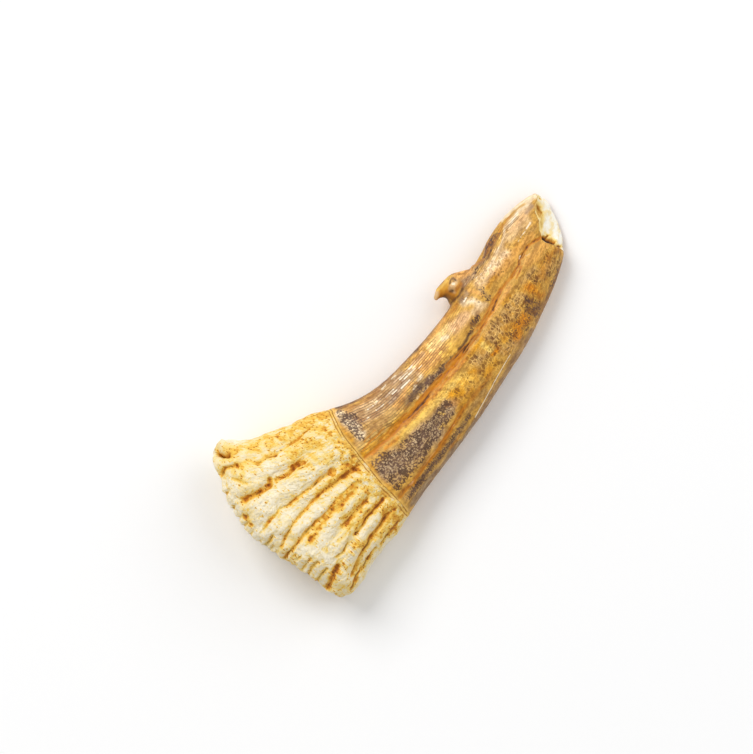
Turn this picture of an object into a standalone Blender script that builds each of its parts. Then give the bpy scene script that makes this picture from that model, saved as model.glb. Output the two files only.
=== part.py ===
"""The rostral spine of an extinct sawskate: one piece of fossil dentine, with an enamelled crown, a barb on
its concave edge, a fluted root and a tip that broke off long ago. It lies on its broad side.

+X runs from the root to the tip, +Y towards the concave edge and +Z up. The origin is at the bottom centre
of the object's box, so Z = 0 is the surface that it rests on. Dimensions are in millimetres.
"""

import math

import bmesh
import bpy
import numpy as np
from mathutils import Matrix, Vector

MM = 0.001

# Cross-sections from the root's end to the tip's: the concave edge's X and Y, the convex edge's X and Y,
# the lowest and highest Z of the section's middle, and how square it is (2 is an ellipse).
SECTIONS = np.array(
    [
        [-28.2, 15.5, -31.2, -15.7, 1.5, 10.6, 2.6],
        [-26.2, 14.0, -29.2, -15.6, 0.0, 12.2, 2.9],
        [-24.3, 12.0, -26.5, -14.9, -0.1, 12.1, 2.9],
        [-21.5, 10.5, -23.2, -14.6, 0.1, 11.7, 2.8],
        [-18.5, 9.0, -20.0, -14.5, 0.4, 11.1, 2.7],
        [-15.4, 7.7, -17.5, -14.2, 0.5, 10.4, 2.5],
        [-12.2, 5.8, -15.2, -13.9, 0.5, 9.8, 2.3],
        [-9.6, 4.3, -12.5, -13.5, 0.4, 9.5, 2.2],
        [-6.5, 3.2, -8.5, -13.1, 0.3, 9.2, 2.2],
        [-3.0, 2.5, -4.5, -12.8, 0.25, 9.0, 2.2],
        [1.0, 2.3, 0.0, -12.4, 0.2, 8.7, 2.2],
        [5.0, 2.3, 4.5, -11.85, 0.15, 8.4, 2.2],
        [9.0, 2.45, 9.0, -11.1, 0.05, 8.1, 2.2],
        [12.6, 2.9, 13.0, -10.5, -0.05, 7.8, 2.2],
        [16.2, 3.9, 17.0, -9.6, -0.08, 7.5, 2.2],
        [19.8, 4.45, 21.0, -8.4, -0.02, 7.1, 2.2],
        [23.4, 5.35, 24.5, -7.3, 0.1, 6.7, 2.2],
        [26.6, 5.85, 27.5, -6.1, 0.25, 6.3, 2.2],
        [29.6, 5.8, 29.7, -5.0, 0.4, 5.9, 2.2],
        [32.6, 5.3, 30.9, -3.8, 0.7, 5.5, 2.2],
        [35.6, 4.2, 32.4, -2.6, 1.1, 4.9, 2.0],
    ]
)
NECK = 6  # the section at the enamel's edge, where the root begins
ROOT_RINGS, CROWN_RINGS = 3, 2  # rings of the mesh from one section to the next
AROUND = 84  # points in each ring
ASPECT = 0.5  # height over width of a usual section, for spacing its points evenly
CONVEX_DROP = 0.9  # how far the convex edge lies below the middle of the section's height

# How far the root's end bows out past the straight line between its edges, from concave to convex edge.
END_BOW_AT = (0.0, 0.02, 0.05, 0.13, 0.22, 0.32, 0.42, 0.5, 0.6, 0.69, 0.8, 0.89, 0.95, 0.985, 1.0)
END_BOW = (0.0, 1.4, 2.3, 3.1, 4.5, 5.2, 5.8, 5.7, 4.9, 4.1, 3.4, 3.0, 2.5, 1.5, 0.0)
NECK_BOW = 0.3
BOW_FADE = 1.5  # how fast the bow fades from the end towards the neck
RIM_SECTIONS, RIM_LOSS = 0.8, 0.5  # the root's rim is rounded: over how many sections, and how strongly
END_HOLLOW = 1.4  # depth of the hollow in the root's end face
END_ROWS = 4

# Furrows between the root's ridges, as their routes in X and Y: on the upper side and on the lower side.
UPPER_FURROWS = (
    ((-31.0, 11.4), (-28.0, 10.8), (-25.0, 9.2), (-22.0, 7.6), (-19.0, 6.7)),
    ((-31.5, 6.3), (-29.0, 5.4), (-25.0, 4.9), (-21.5, 4.0), (-18.5, 3.5)),
    ((-33.0, 1.5), (-29.0, 1.4), (-27.0, 0.7), (-23.0, 0.1), (-18.0, -0.5)),
    ((-33.0, -2.7), (-30.5, -1.9), (-27.0, -1.6), (-23.0, -1.8), (-17.0, -2.9)),
    ((-34.5, -4.2), (-31.0, -4.1), (-27.0, -4.2), (-22.0, -4.7), (-18.0, -5.4)),
    ((-27.0, -7.8), (-23.0, -7.5), (-19.0, -7.4)),
    ((-33.5, -11.6), (-28.5, -11.0), (-23.5, -9.8), (-17.0, -9.2)),
    ((-30.0, -14.6), (-26.0, -13.2), (-23.0, -12.0), (-18.0, -11.3)),
)
LOWER_FURROWS = (
    ((-33.0, 8.0), (-27.0, 7.2), (-21.0, 5.4), (-18.0, 4.4)),
    ((-34.5, 3.0), (-28.0, 3.2), (-22.0, 2.0), (-17.0, 1.0)),
    ((-34.5, -1.5), (-29.0, -1.4), (-22.0, -2.2), (-17.0, -2.6)),
    ((-34.0, -6.0), (-28.0, -5.8), (-22.0, -6.0), (-18.0, -6.2)),
    ((-33.5, -10.2), (-27.0, -9.6), (-21.0, -9.2), (-18.0, -9.0)),
    ((-31.5, -13.4), (-26.0, -12.2), (-21.0, -11.6)),
)
FURROW_DEPTH, FURROW_HALF_WIDTH = 0.55, 0.75
# The long groove that runs down the middle of the crown on both sides.
GROOVE = ((-16.0, -2.9), (-4.0, -3.7), (8.0, -3.2), (12.0, -2.6), (20.0, -0.8), (24.0, -0.2), (31.0, 0.0))
GROOVE_DEPTH, GROOVE_HALF_WIDTH = 0.4, 1.0

# The barb's cross-sections, from inside the crown to its point: X and Y of the edge that faces the root,
# X and Y of the edge that faces the tip, the middle's Z and half its width.
BARB = np.array(
    [
        [12.7, 1.4, 20.4, 2.8, 3.6, 2.2],
        [12.05, 2.9, 18.2, 4.3, 3.7, 1.9],
        [12.4, 3.8, 16.4, 5.4, 3.8, 1.55],
        [12.35, 4.4, 15.0, 6.0, 3.8, 1.25],
        [12.0, 4.8, 13.7, 6.25, 3.8, 0.95],
        [11.5, 5.0, 12.5, 6.1, 3.8, 0.65],
        [10.95, 5.1, 11.2, 5.6, 3.8, 0.3],
    ]
)
BARB_RINGS, BARB_AROUND = 15, 16

# The old break at the tip: a point on its plane, and the plane's normal.
BREAK_POINT = (33.35, 0.0, 0.0)
BREAK_NORMAL = (0.875, -0.39, 0.29)
CUTTER_SIZE = 90.0

ENAMEL = (0.5, 0.27, 0.08)
DENTINE = (0.8, 0.7, 0.5)


def smooth(table, at):
    """The rows of table, which stand at 0, 1, 2 and on, read at other places along a smooth curve."""
    slopes = np.gradient(table, axis=0)
    low = np.clip(np.floor(at).astype(int), 0, len(table) - 2)
    f = (at - low)[:, None]
    rise = table[low + 1] - table[low]
    a, b = slopes[low], slopes[low + 1]
    return table[low] + f * (a + f * (3 * rise - 2 * a - b + f * (a + b - 2 * rise)))


def even_angles(count):
    """Angles round an ellipse whose points are the same distance apart."""
    fine = np.linspace(0, 2 * math.pi, 2001)
    steps = np.hypot(np.diff(np.cos(fine)), ASPECT * np.diff(np.sin(fine)))
    along = np.concatenate([[0], np.cumsum(steps)])
    return np.interp(np.arange(count) / count * along[-1], along, fine)


def route_distance(points, route):
    """How far each point is from a route of straight stretches."""
    nearest = np.full(len(points), np.inf)
    for start, end in zip(np.array(route[:-1]), np.array(route[1:])):
        run = end - start
        share = np.clip((points - start) @ run / (run @ run), 0, 1)
        away = points - start - share[:, None] * run
        nearest = np.minimum(nearest, np.hypot(away[:, 0], away[:, 1]))
    return nearest


def carved_depth(points, furrows, in_root):
    """How deep the furrows and the groove are at each point."""
    nearest = np.min([route_distance(points, route) for route in furrows], axis=0)
    depth = in_root * FURROW_DEPTH * np.exp(-((nearest / FURROW_HALF_WIDTH) ** 2))
    return depth + GROOVE_DEPTH * np.exp(-((route_distance(points, GROOVE) / GROOVE_HALF_WIDTH) ** 2))


def bow_across(at, share):
    """How far a ring bows towards the root's end, at a share of the way across it."""
    end = max(1 - at / NECK, 0) ** BOW_FADE * np.interp(share, END_BOW_AT, END_BOW)
    return end + min(at / NECK, 1) * NECK_BOW * np.sin(math.pi * share)


def body_ring(at, section, angles):
    """The points of one cross-section, which starts at the concave edge and goes over the top."""
    concave, convex = section[0:2], section[2:4]
    low, high, squareness = section[4:7]
    across = np.sign(np.cos(angles)) * np.abs(np.cos(angles)) ** (2 / squareness)
    up = np.sign(np.sin(angles)) * np.abs(np.sin(angles)) ** (2 / squareness)
    share = (1 - across) / 2
    line = convex - concave
    outward = np.array([line[1], -line[0]]) / np.hypot(*line)
    plan = concave + share[:, None] * line + bow_across(at, share)[:, None] * outward
    in_root = np.clip(NECK - at + 0.5, 0, 1)
    upper = carved_depth(plan, UPPER_FURROWS, in_root)
    lower = carved_depth(plan, LOWER_FURROWS, in_root)
    rim = math.sqrt(1 - RIM_LOSS * max(0, 1 - at / RIM_SECTIONS) ** 2)
    half = (high - low) / 2 * rim - np.where(up > 0, upper, lower)
    return np.column_stack([plan, (low + high) / 2 - CONVEX_DROP * share**3 + up * half])


def body_rings():
    angles = even_angles(AROUND)
    root = np.arange(NECK * ROOT_RINGS) / ROOT_RINGS
    crown = NECK + np.arange((len(SECTIONS) - 1 - NECK) * CROWN_RINGS + 1) / CROWN_RINGS
    places = np.concatenate([root, crown])
    return [body_ring(at, section, angles) for at, section in zip(places, smooth(SECTIONS, places))]


def barb_rings():
    rings = []
    turns = np.arange(BARB_AROUND) / BARB_AROUND * 2 * math.pi
    for row in smooth(BARB, np.linspace(0, len(BARB) - 1, BARB_RINGS)):
        share = (1 - np.cos(turns)[:, None]) / 2
        plan = row[0:2] + share * (row[2:4] - row[0:2])
        rings.append(np.column_stack([plan, row[4] + row[5] * np.sin(turns)]))
    return rings


def skin(mesh, rings):
    """Adds the rings to the mesh with a band of faces from each to the next, and returns their vertices."""
    loops = [[mesh.verts.new(Vector(point) * MM) for point in ring] for ring in rings]
    for near, far in zip(loops, loops[1:]):
        for i in range(len(near)):
            following = (i + 1) % len(near)
            mesh.faces.new((near[i], near[following], far[following], far[i]))
    return loops


def hollow_end(mesh, loop):
    """Closes the root's end with columns of faces from its upper rim to its lower one, hollowed inwards."""
    half = len(loop) // 2
    columns = [[loop[0]] * (END_ROWS + 1)]
    for i in range(1, half):
        top, bottom = loop[i], loop[-i]
        column = [top]
        for row in range(1, END_ROWS):
            down = row / END_ROWS
            inward = END_HOLLOW * MM * math.sin(math.pi * down) * math.sin(math.pi * i / half)
            column.append(mesh.verts.new(top.co.lerp(bottom.co, down) + Vector((inward, 0, 0))))
        columns.append(column + [bottom])
    columns.append([loop[half]] * (END_ROWS + 1))
    for left, right in zip(columns, columns[1:]):
        for row in range(END_ROWS):
            corners = (left[row], right[row], right[row + 1], left[row + 1])
            mesh.faces.new(dict.fromkeys(corners))


def finished(name, mesh):
    """The object made from a closed mesh, with its faces pointing out."""
    bmesh.ops.recalc_face_normals(mesh, faces=mesh.faces)
    data = bpy.data.meshes.new(name)
    mesh.to_mesh(data)
    mesh.free()
    obj = bpy.data.objects.new(name, data)
    bpy.context.scene.collection.objects.link(obj)
    return obj


def body():
    mesh = bmesh.new()
    loops = skin(mesh, body_rings())
    hollow_end(mesh, loops[0])
    mesh.faces.new(loops[-1])
    return finished("rostral_spine", mesh)


def barb():
    mesh = bmesh.new()
    loops = skin(mesh, barb_rings())
    mesh.faces.new(loops[0])
    mesh.faces.new(loops[-1])
    return finished("barb", mesh)


def cutter(name, point, normal):
    """A cube with the middle of one face at the point, on the side that the normal points to."""
    mesh = bmesh.new()
    bmesh.ops.create_cube(mesh, size=CUTTER_SIZE * MM)
    bmesh.ops.translate(mesh, verts=mesh.verts, vec=(0, 0, CUTTER_SIZE * MM / 2))
    turn = Vector(normal).to_track_quat("Z", "Y").to_matrix().to_4x4()
    bmesh.ops.transform(mesh, verts=mesh.verts, matrix=Matrix.Translation(Vector(point) * MM) @ turn)
    return finished(name, mesh)


def combine(obj, other, operation):
    """Joins other to obj or cuts it away, and removes it."""
    modifier = obj.modifiers.new(other.name, "BOOLEAN")
    modifier.object = other
    modifier.operation = operation
    bpy.context.view_layer.update()
    result = obj.evaluated_get(bpy.context.evaluated_depsgraph_get())
    obj.data = bpy.data.meshes.new_from_object(result)
    obj.modifiers.clear()
    bpy.data.objects.remove(other)


def centre(obj):
    """Moves the mesh so that the origin is in the middle of its box, seen from above."""
    points = np.array([vert.co for vert in obj.data.vertices])
    middle = (points.min(axis=0) + points.max(axis=0)) / 2
    obj.data.transform(Matrix.Translation((-middle[0], -middle[1], 0)))


def material(name, colour, roughness):
    made = bpy.data.materials.new(name)
    made.use_nodes = True
    shader = made.node_tree.nodes["Principled BSDF"]
    shader.inputs["Base Color"].default_value = (*colour, 1)
    shader.inputs["Roughness"].default_value = roughness
    shader.inputs["Metallic"].default_value = 0
    return made


def paint(obj):
    """Enamel on the crown, bare dentine on the root."""
    obj.data.materials.clear()
    obj.data.materials.append(material("enamel", ENAMEL, 0.3))
    obj.data.materials.append(material("dentine", DENTINE, 0.75))
    concave_x, concave_y, convex_x, convex_y = SECTIONS[NECK, 0:4] * MM
    for face in obj.data.polygons:
        share = (face.center.y - concave_y) / (convex_y - concave_y)
        line_x = concave_x + share * (convex_x - concave_x)
        face.material_index = 0 if face.center.x > line_x else 1


def main():
    for old in list(bpy.data.objects):
        bpy.data.objects.remove(old)
    spine = body()
    combine(spine, barb(), "UNION")
    combine(spine, cutter("old_break", BREAK_POINT, BREAK_NORMAL), "DIFFERENCE")
    combine(spine, cutter("ground", (0, 0, 0), (0, 0, -1)), "DIFFERENCE")
    centre(spine)
    paint(spine)
    spine.data.shade_smooth()


main()
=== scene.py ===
"""The looks of a fossil sawskate spine, lying on its broad side under a camera that looks straight down.

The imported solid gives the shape. Its skin is remeshed finely, the old break is hollowed and the surface is
carved with furrows, pits, cracks and wear. Each point also gets masks and a wash of colour, which one
material joins to the finer grain of enamel, dentine and fresh break. Lengths are in millimetres, in the
frame's axes: +X to the tip, +Y to the concave edge, +Z up. A route or an outline ends its row of a table,
as the X and Y of each corner in turn.
"""

import functools
import math

import bmesh
import bpy
import numpy as np
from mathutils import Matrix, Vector


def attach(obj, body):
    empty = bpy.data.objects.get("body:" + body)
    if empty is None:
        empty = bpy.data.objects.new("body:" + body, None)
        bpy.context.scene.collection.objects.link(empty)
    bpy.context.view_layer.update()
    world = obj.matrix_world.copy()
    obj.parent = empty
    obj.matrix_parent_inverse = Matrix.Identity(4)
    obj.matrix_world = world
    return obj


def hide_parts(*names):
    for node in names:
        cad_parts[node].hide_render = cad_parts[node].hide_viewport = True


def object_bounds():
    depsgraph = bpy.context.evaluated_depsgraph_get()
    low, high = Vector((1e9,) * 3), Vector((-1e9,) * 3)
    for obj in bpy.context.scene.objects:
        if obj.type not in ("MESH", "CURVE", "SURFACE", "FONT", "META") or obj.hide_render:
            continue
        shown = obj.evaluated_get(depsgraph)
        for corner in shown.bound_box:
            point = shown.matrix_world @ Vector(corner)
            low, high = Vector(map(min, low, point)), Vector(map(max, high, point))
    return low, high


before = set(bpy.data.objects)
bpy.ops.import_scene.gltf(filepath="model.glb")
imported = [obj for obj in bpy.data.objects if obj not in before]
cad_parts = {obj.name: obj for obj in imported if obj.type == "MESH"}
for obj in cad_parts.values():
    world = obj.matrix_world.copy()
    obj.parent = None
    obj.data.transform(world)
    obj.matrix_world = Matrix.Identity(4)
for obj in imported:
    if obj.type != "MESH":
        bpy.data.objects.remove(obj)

MM = 0.001
NODE = "rostral_spine"
CAD_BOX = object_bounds()

# ---------------------------------------------------------------- shape

VOXEL = 0.216  # size of the fine skin's faces
SMOOTHING = 14  # rounds that take the solid's facets out of the skin
SMOOTH_IN, SMOOTH_OUT = 0.5, -0.52
MERGE_DISTANCE = 0.03  # how near points of the cut skin are joined
SHARP = math.radians(50)

# The two long edges as X and Y, for coordinates that run along and across the spine.
CONCAVE_EDGE = (
    (-28, -24.3, -18.5, -12.2, -6.5, 1, 9, 16, 20, 26.6, 34),
    (15.4, 12, 9, 5.8, 3.2, 2.3, 2.4, 3.9, 4.45, 5.85, 5),
)
CONVEX_EDGE = (
    (-30, -20, -8.5, 4.5, 13, 21, 27.5, 32),
    (-15.7, -14.5, -13.1, -11.85, -10.5, -8.4, -6.1, -3.4),
)
MEAN_WIDTH = 14.0
# Where the sides begin, as X and Z.
SHOULDERS = (
    (-30, -14, 0, 14, 26, 34),
    (9.2, 7.5, 6.5, 5.7, 4.8, 3.8),
)

# Where the enamel ends, as Y and X, and its wander: how far, size of the lumps, and seed.
ENAMEL_EDGE = (
    (-13.4, -10.9, -8.4, -6.4, -4.4, -2.9, -0.4, 1.6, 3.6, 5.7),
    (-15.9, -15.6, -15.4, -15.2, -14.9, -14.6, -14.2, -13.8, -13.1, -12.1),
)
ENAMEL_WANDER = ((0.12, 2.5, 5), (0.05, 0.7, 6))

# The old break at each Y: the X and Z of its upper rim, and the X of its lower rim.
BREAK_Y = (-6, -3.8, -3.2, -2.6, -2.3, -1.5, -0.7, -0.1, 0.6, 1.2,
           1.6, 2.4, 3, 3.6, 4, 4.4, 4.7, 4.95, 5.2, 6.5)
BREAK_TOP_X = (30.3, 30.7, 30.6, 30.7, 30.4, 30.1, 29.9, 30.2, 30.5, 31.2,
               31.6, 32, 32.3, 33, 33.7, 34.3, 34.4, 34.2, 33.6, 31.4)
BREAK_TOP_Z = (3, 3.3, 3.9, 4.4, 4.6, 4.9, 5.1, 5.2, 5.3, 5.3, 5.3, 5.2, 5.1, 4.8, 4.4, 4, 3.8, 3.6, 3.4, 3)
BREAK_LOW_X = (30, 31.3, 31.9, 32.25, 32.4, 32.8, 33.2, 33.45, 33.8, 34.05,
               34.25, 34.6, 34.75, 34.85, 34.9, 34.9, 34.75, 34.4, 33.8, 31.8)
BREAK_LOW_Z = 1.2
BREAK_DISH = 0.15
BREAK_GRAIN = ((0.09, 1.3, 11), (0.045, 0.5, 12))  # height, size of the lumps, and seed
# The block that cuts the tip off: faces along its near side, half that side's size, its middle Z, its far X.
CUTTER_STEPS, CUTTER_REACH, CUTTER_MIDDLE_Z, CUTTER_END = 90, 9.0, 4.0, 45.0
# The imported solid's flat break: its X at the origin, and how X rises with Y and Z.
SOLID_BREAK = (33.726, 0.4457, -0.3314)
ON_BREAK = 0.03  # how near a point of a break lies to it
DRAWN_OUT = 1.2  # how far the skin is drawn out past that break before it is broken again

# Furrows on the root's upper and lower side: depth, half width, stain and route. Their stain is partly
# painted shade.
UPPER_FURROWS = (
    (2, 0.26, 1.6, -29, 15.8, -28.9, 14.7, -28.6, 13.9, -28, 13.3),
    (0.55, 0.24, 0.9, -31.6, 11.8, -30.5, 12, -29.8, 12.1, -29.1, 11.6, -28.2, 11.1),
    (0.15, 0.35, 0.4, -28.2, 11.1, -27.2, 10.6, -26.2, 10.1, -26, 9.3),
    (0.25, 0.22, 0.6, -30.3, 10.2, -29.9, 9.4, -29.5, 8.6, -29.2, 8),
    (0.38, 0.3, 0.8, -25.8, 8.9, -24.2, 8.5, -23.4, 8, -22.8, 7.6),
    (0.22, 0.18, 0.6, -22.8, 7.6, -21.5, 7.3, -20, 7, -18, 6.6, -16.6, 6.4),
    (0.5, 0.38, 0.8, -31.6, 6.5, -30.6, 6.3, -29.5, 5.8),
    (0.55, 0.34, 1.1, -29.5, 5.75, -28.5, 5.5, -27.4, 5.3, -27, 5.2, -26.3, 5.7),
    (0.5, 0.3, 0.9, -25.7, 4.95, -24.7, 4.6, -23.5, 4.3, -22.3, 4.3, -21.3, 3.95, -20.9, 3.6),
    (0.18, 0.2, 0.6, -22.2, 3.5, -21.2, 3, -20.5, 2.6, -20.3, 1.9),
    (0.25, 0.25, 0.6, -33, 1.2, -31.5, 1.5, -30, 1.4, -29, 1.4),
    (0.42, 0.22, 0.7, -29, 1.5, -28.4, 1.3, -27.5, 1, -26.5, 0.8, -25, 0.6, -24, 0.4),
    (0.45, 0.24, 1.1, -24, 0.4, -23.2, 0.2, -22, 0.1, -20.5, -0.1, -19.4, -0.3),
    (0.35, 0.25, 1, -35.5, -0.7, -34.6, -0.65, -33.5, -0.6, -32.7, -0.4),
    (0.3, 0.25, 0.6, -35.5, -1.7, -34.5, -1.7, -33.8, -1.6),
    (0.42, 0.22, 0.8, -32.9, -2.5, -32, -2.2, -31, -1.9, -29.5, -1.6, -27.5, -1.5, -25.5, -1.5),
    (0.4, 0.22, 0.7, -25.5, -1.5, -24, -1.6, -22.5, -1.75, -21.5, -1.9),
    (0.5, 0.3, 0.9, -21.5, -1.9, -20, -2.2, -18.5, -2.5, -17, -2.8, -15.6, -2.95),
    (0.4, 0.22, 0.9, -34.6, -4.1, -33, -4, -30, -4, -28, -3.9, -26.5, -3.9, -26, -4.1),
    (0.25, 0.25, 0.5, -26, -4.1, -24, -4.2, -22, -4, -20.5, -4.2, -18, -4.4),
    (0.3, 0.45, 0.25, -29.4, -5, -27.5, -4.9, -25, -4.8, -22, -5, -19.5, -5.2),
    (0.1, 0.22, 0.4, -27.4, -7.8, -26.4, -7.7, -25.4, -7.65),
    (0.22, 0.2, 0.5, -34.4, -4.9, -33.4, -4.95, -32.4, -5),
    (0.22, 0.2, 0.5, -34.2, -5.7, -33, -5.65, -32, -5.8),
    (0.35, 0.24, 0.9, -24.3, -7.4, -23, -7.5, -21.7, -7.5, -20, -7.5, -18.4, -7.4),
    (0.15, 0.22, 0.4, -26.5, -8.6, -24, -8.5, -22, -8.6, -19, -8.8),
    (0.38, 0.2, 1.2, -23.8, -9.8, -22.5, -9.7, -21, -9.6, -19.3, -9.5, -17, -9.3),
    (0.3, 0.2, 0.9, -28.4, -9.9, -27.3, -10.2, -26.5, -10, -25.6, -9.8),
    (0.35, 0.24, 0.9, -34.4, -8.5, -33.4, -8.5, -32.5, -8.3, -31, -8.45),
    (0.3, 0.22, 0.7, -34.4, -7.3, -33, -7.3, -31.4, -7.2),
    (0.4, 0.26, 1.2, -34.4, -10.3, -33.2, -10.2, -32.2, -10.1, -30.8, -10.1),
    (0.55, 0.34, 1, -34, -12.3, -33.2, -12.1, -32.4, -11.9, -31.5, -11.6, -30.5, -11.3, -29.3, -11),
    (0.4, 0.28, 0.8, -28.8, -13.6, -27.4, -13.3, -26.2, -12.9, -24.9, -12.5),
    (0.5, 0.26, 1.2, -24.9, -12.5, -23.9, -12.4, -23, -12.1, -21.5, -11.9, -20, -11.7, -18.4, -11.4),
    (0.2, 0.24, 0.7, -18.4, -11.4, -17.6, -11.4, -16.9, -11.7),
    (0.28, 0.2, 1, -30.8, -14.9, -29.5, -14.6, -28.5, -14.2, -27, -14.1, -25.5, -13.8, -23.4, -13.7),
    (0.24, 0.18, 1, -22.5, -13.75, -20.9, -13.7, -19.8, -13.5, -18, -13.5),
)
LOWER_FURROWS = (
    (0.45, 0.4, 0.8, -34, 10.6, -30.5, 10.2, -26.5, 9.4, -22, 7.8),
    (0.5, 0.4, 1, -36, 7.6, -32, 8, -27, 7.2, -21, 5.4, -17, 4.2),
    (0.35, 0.3, 0.7, -36, 5.2, -32, 5.4, -28.5, 5.1),
    (0.5, 0.34, 0.9, -36, 3, -32, 3.2, -28, 3.1, -22, 2, -16.8, 0.8),
    (0.45, 0.3, 0.9, -36, -1.3, -29, -1.4, -22, -2.2, -16.5, -2.7),
    (0.3, 0.28, 0.6, -33, -3.9, -28.5, -3.7, -24, -4.1),
    (0.48, 0.34, 1, -36, -6.2, -28, -5.8, -22, -6, -17.2, -6.3),
    (0.32, 0.3, 0.7, -36, -8.3, -31, -8, -27, -7.7),
    (0.45, 0.32, 0.9, -36, -10.4, -27, -9.6, -21, -9.2, -17, -9.1),
    (0.42, 0.32, 0.8, -33, -13.8, -26, -12.2, -19.5, -11.6),
)
# Short notches in the root's rim: Y and depth.
RIM_NOTCHES = (
    (9.3, 0.3), (6.9, 0.35), (5.3, 0.3), (3.9, 0.35), (2.3, 0.3), (0.4, 0.3), (-2.6, 0.3), (-5.3, 0.3),
    (-6, 0.3), (-9.3, 0.3), (-13.6, 0.3),
)
NOTCH_LENGTH, NOTCH_HALF_WIDTH, NOTCH_STAIN = 1.6, 0.28, 0.6
# The root's rim as Y and X.
RIM = (
    (-15.6, -13, -5, 0, 5, 10, 14, 15.5),
    (-31.5, -33.5, -34, -34.8, -34.2, -32.2, -30.2, -28),
)

# Round pits: X, Y, radius, depth and stain.
UPPER_PITS = (
    (-27.7, 13.45, 0.5, 0.35, 0.6), (-31.3, 13, 0.6, 0.45, 0.1), (-25.5, 13.8, 0.8, 0.45, 0),
    (-28.2, 11, 0.35, 0.15, 1), (-31.5, 10.1, 0.3, 0.15, 0.6), (-31.2, 6.45, 0.5, 0.2, 0.8),
    (-28.6, 5.5, 0.45, 0.3, 0.9), (-27.1, 5.15, 0.3, 0.25, 0.8), (-24.75, 4.6, 0.38, 0.25, 0.8),
    (-22.5, 4.3, 0.45, 0.3, 1.2), (-21.8, 4.1, 0.45, 0.3, 0.9), (-23, 7.65, 0.32, 0.2, 1.2),
    (-23.2, 8.8, 0.22, 0.12, 0.8), (-20.7, 9.3, 0.4, 0.12, 0.7), (-24.4, 10.9, 0.25, 0.08, 0.5),
    (-33.2, 4.6, 0.5, 0.3, 1), (-33.5, 3.2, 0.45, 0.25, 0.9), (-31.2, 1.45, 0.28, 0.15, 0.9),
    (-28.6, 2.2, 0.2, 0.1, 0.6), (-31.3, 2.9, 0.22, 0.1, 0.7), (-30, 3.5, 0.2, 0.1, 0.6),
    (-26.7, 4.1, 0.25, 0.1, 0.5), (-19, -0.6, 0.6, 0.45, 1.2), (-16.6, -1.6, 0.4, 0.25, 0.6),
    (-15.2, -1.55, 0.4, 0.3, 0.8), (-16.5, -2.8, 0.25, 0.15, 0.6), (-28.8, -5.2, 0.5, 0.3, 0.9),
    (-26.8, -5.15, 0.3, 0.15, 0.7), (-21.8, -5.2, 0.3, 0.12, 0.7), (-24.5, -6.1, 0.28, 0.12, 0.6),
    (-23.6, -6.4, 0.35, 0.1, 0.5), (-21.9, -7.8, 0.3, 0.15, 0.6), (-20.7, -8, 0.35, 0.15, 0.6),
    (-30.2, -8.7, 0.45, 0.15, 0.6), (-19, -7.95, 0.18, 0.08, 1), (-29.1, -14.7, 0.45, 0.3, 1),
    (-25.3, -13.75, 0.4, 0.15, 0.9), (-19.2, -13.8, 0.3, 0.1, 0.8), (-32.8, -12.4, 0.4, 0.25, 1),
    (15.25, 5.05, 0.42, 0.34, 0), (14.4, 4.2, 0.35, 0.12, 1), (32.7, 2.8, 0.75, 0.3, 0.1),
    (34.25, 3.7, 0.16, 0.15, 1.2), (33.65, 4.05, 0.18, 0.12, 0.9),
)
LOWER_PITS = (
    (-26.5, 5.6, 0.6, 0.3, 1.1), (-24, 6.4, 0.45, 0.3, 1.1), (-20, -4.2, 0.5, 0.3, 1),
    (-18.2, 2.6, 0.55, 0.3, 1), (-29.5, -2.6, 0.5, 0.25, 0.9), (-27, -8, 0.5, 0.25, 1),
    (-22.5, -10.4, 0.4, 0.25, 0.9), (22, 1, 0.3, 0.15, 0.9),
)
# Rounded lumps and dips: X, Y, radius and height.
UPPER_LUMPS = (
    (-27.9, 14.6, 0.8, 0.35), (-30.2, 13.2, 1, 0.35), (-15.75, -0.6, 0.45, 0.35), (-31.7, 9.6, 1.2, 0.2),
    (-32.8, 7.4, 0.9, 0.2), (-31, -13.6, 1.8, 0.2), (-33.2, -3, 0.8, 0.2), (-28.5, -3, 1, 0.1),
    (-24.8, -2.8, 1.2, 0.12), (-33.6, 0.6, 0.8, 0.15), (-16.3, 0.1, 0.3, 0.15), (-27.2, 15.2, 0.5, 0.5),
    (12.7, 6, 0.7, 0.12), (16.2, 5.9, 1.2, 0.35), (18, 4.9, 0.9, 0.2), (19.3, 4.6, 0.7, 0.3),
    (20.6, 4.9, 0.9, -0.6), (21.8, 5.1, 0.9, -0.3),
)
ROOT_PROUD, CROWN_PROUD = 0.15, 0.05  # how far each is raised before it is carved
SLOPE_WIDTH = 0.9  # how far the root sinks towards a furrow
CHANNEL_SHARE, SLOPE_SHARE = 0.72, 0.65  # of a furrow's depth, for its channel and the slopes beside it
# The dark line in a furrow's bottom is partly stain and partly painted shade.
SEAM_WIDTH = 0.13  # half the width of the dark line in a furrow's bottom
WIDE_PIT = 0.55
SMALL_PIT_CELL, SMALL_PIT_RADIUS, SMALL_PIT_DEPTH = 1.2, 0.28, 0.12
# Roughness of the root and the crown, along the flow: height, size of the lumps, and seed.
ROOT_GRAIN = ((0.10, (3, 1.3, 2), 41), (0.12, (1.3, 0.8, 1), 42), (0.07, (2.5, 0.45, 1.2), 45))
CROWN_GRAIN = ((0.05, (7, 0.9, 2.5), 51), (0.03, (3, 0.5, 1.5), 52))

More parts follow.
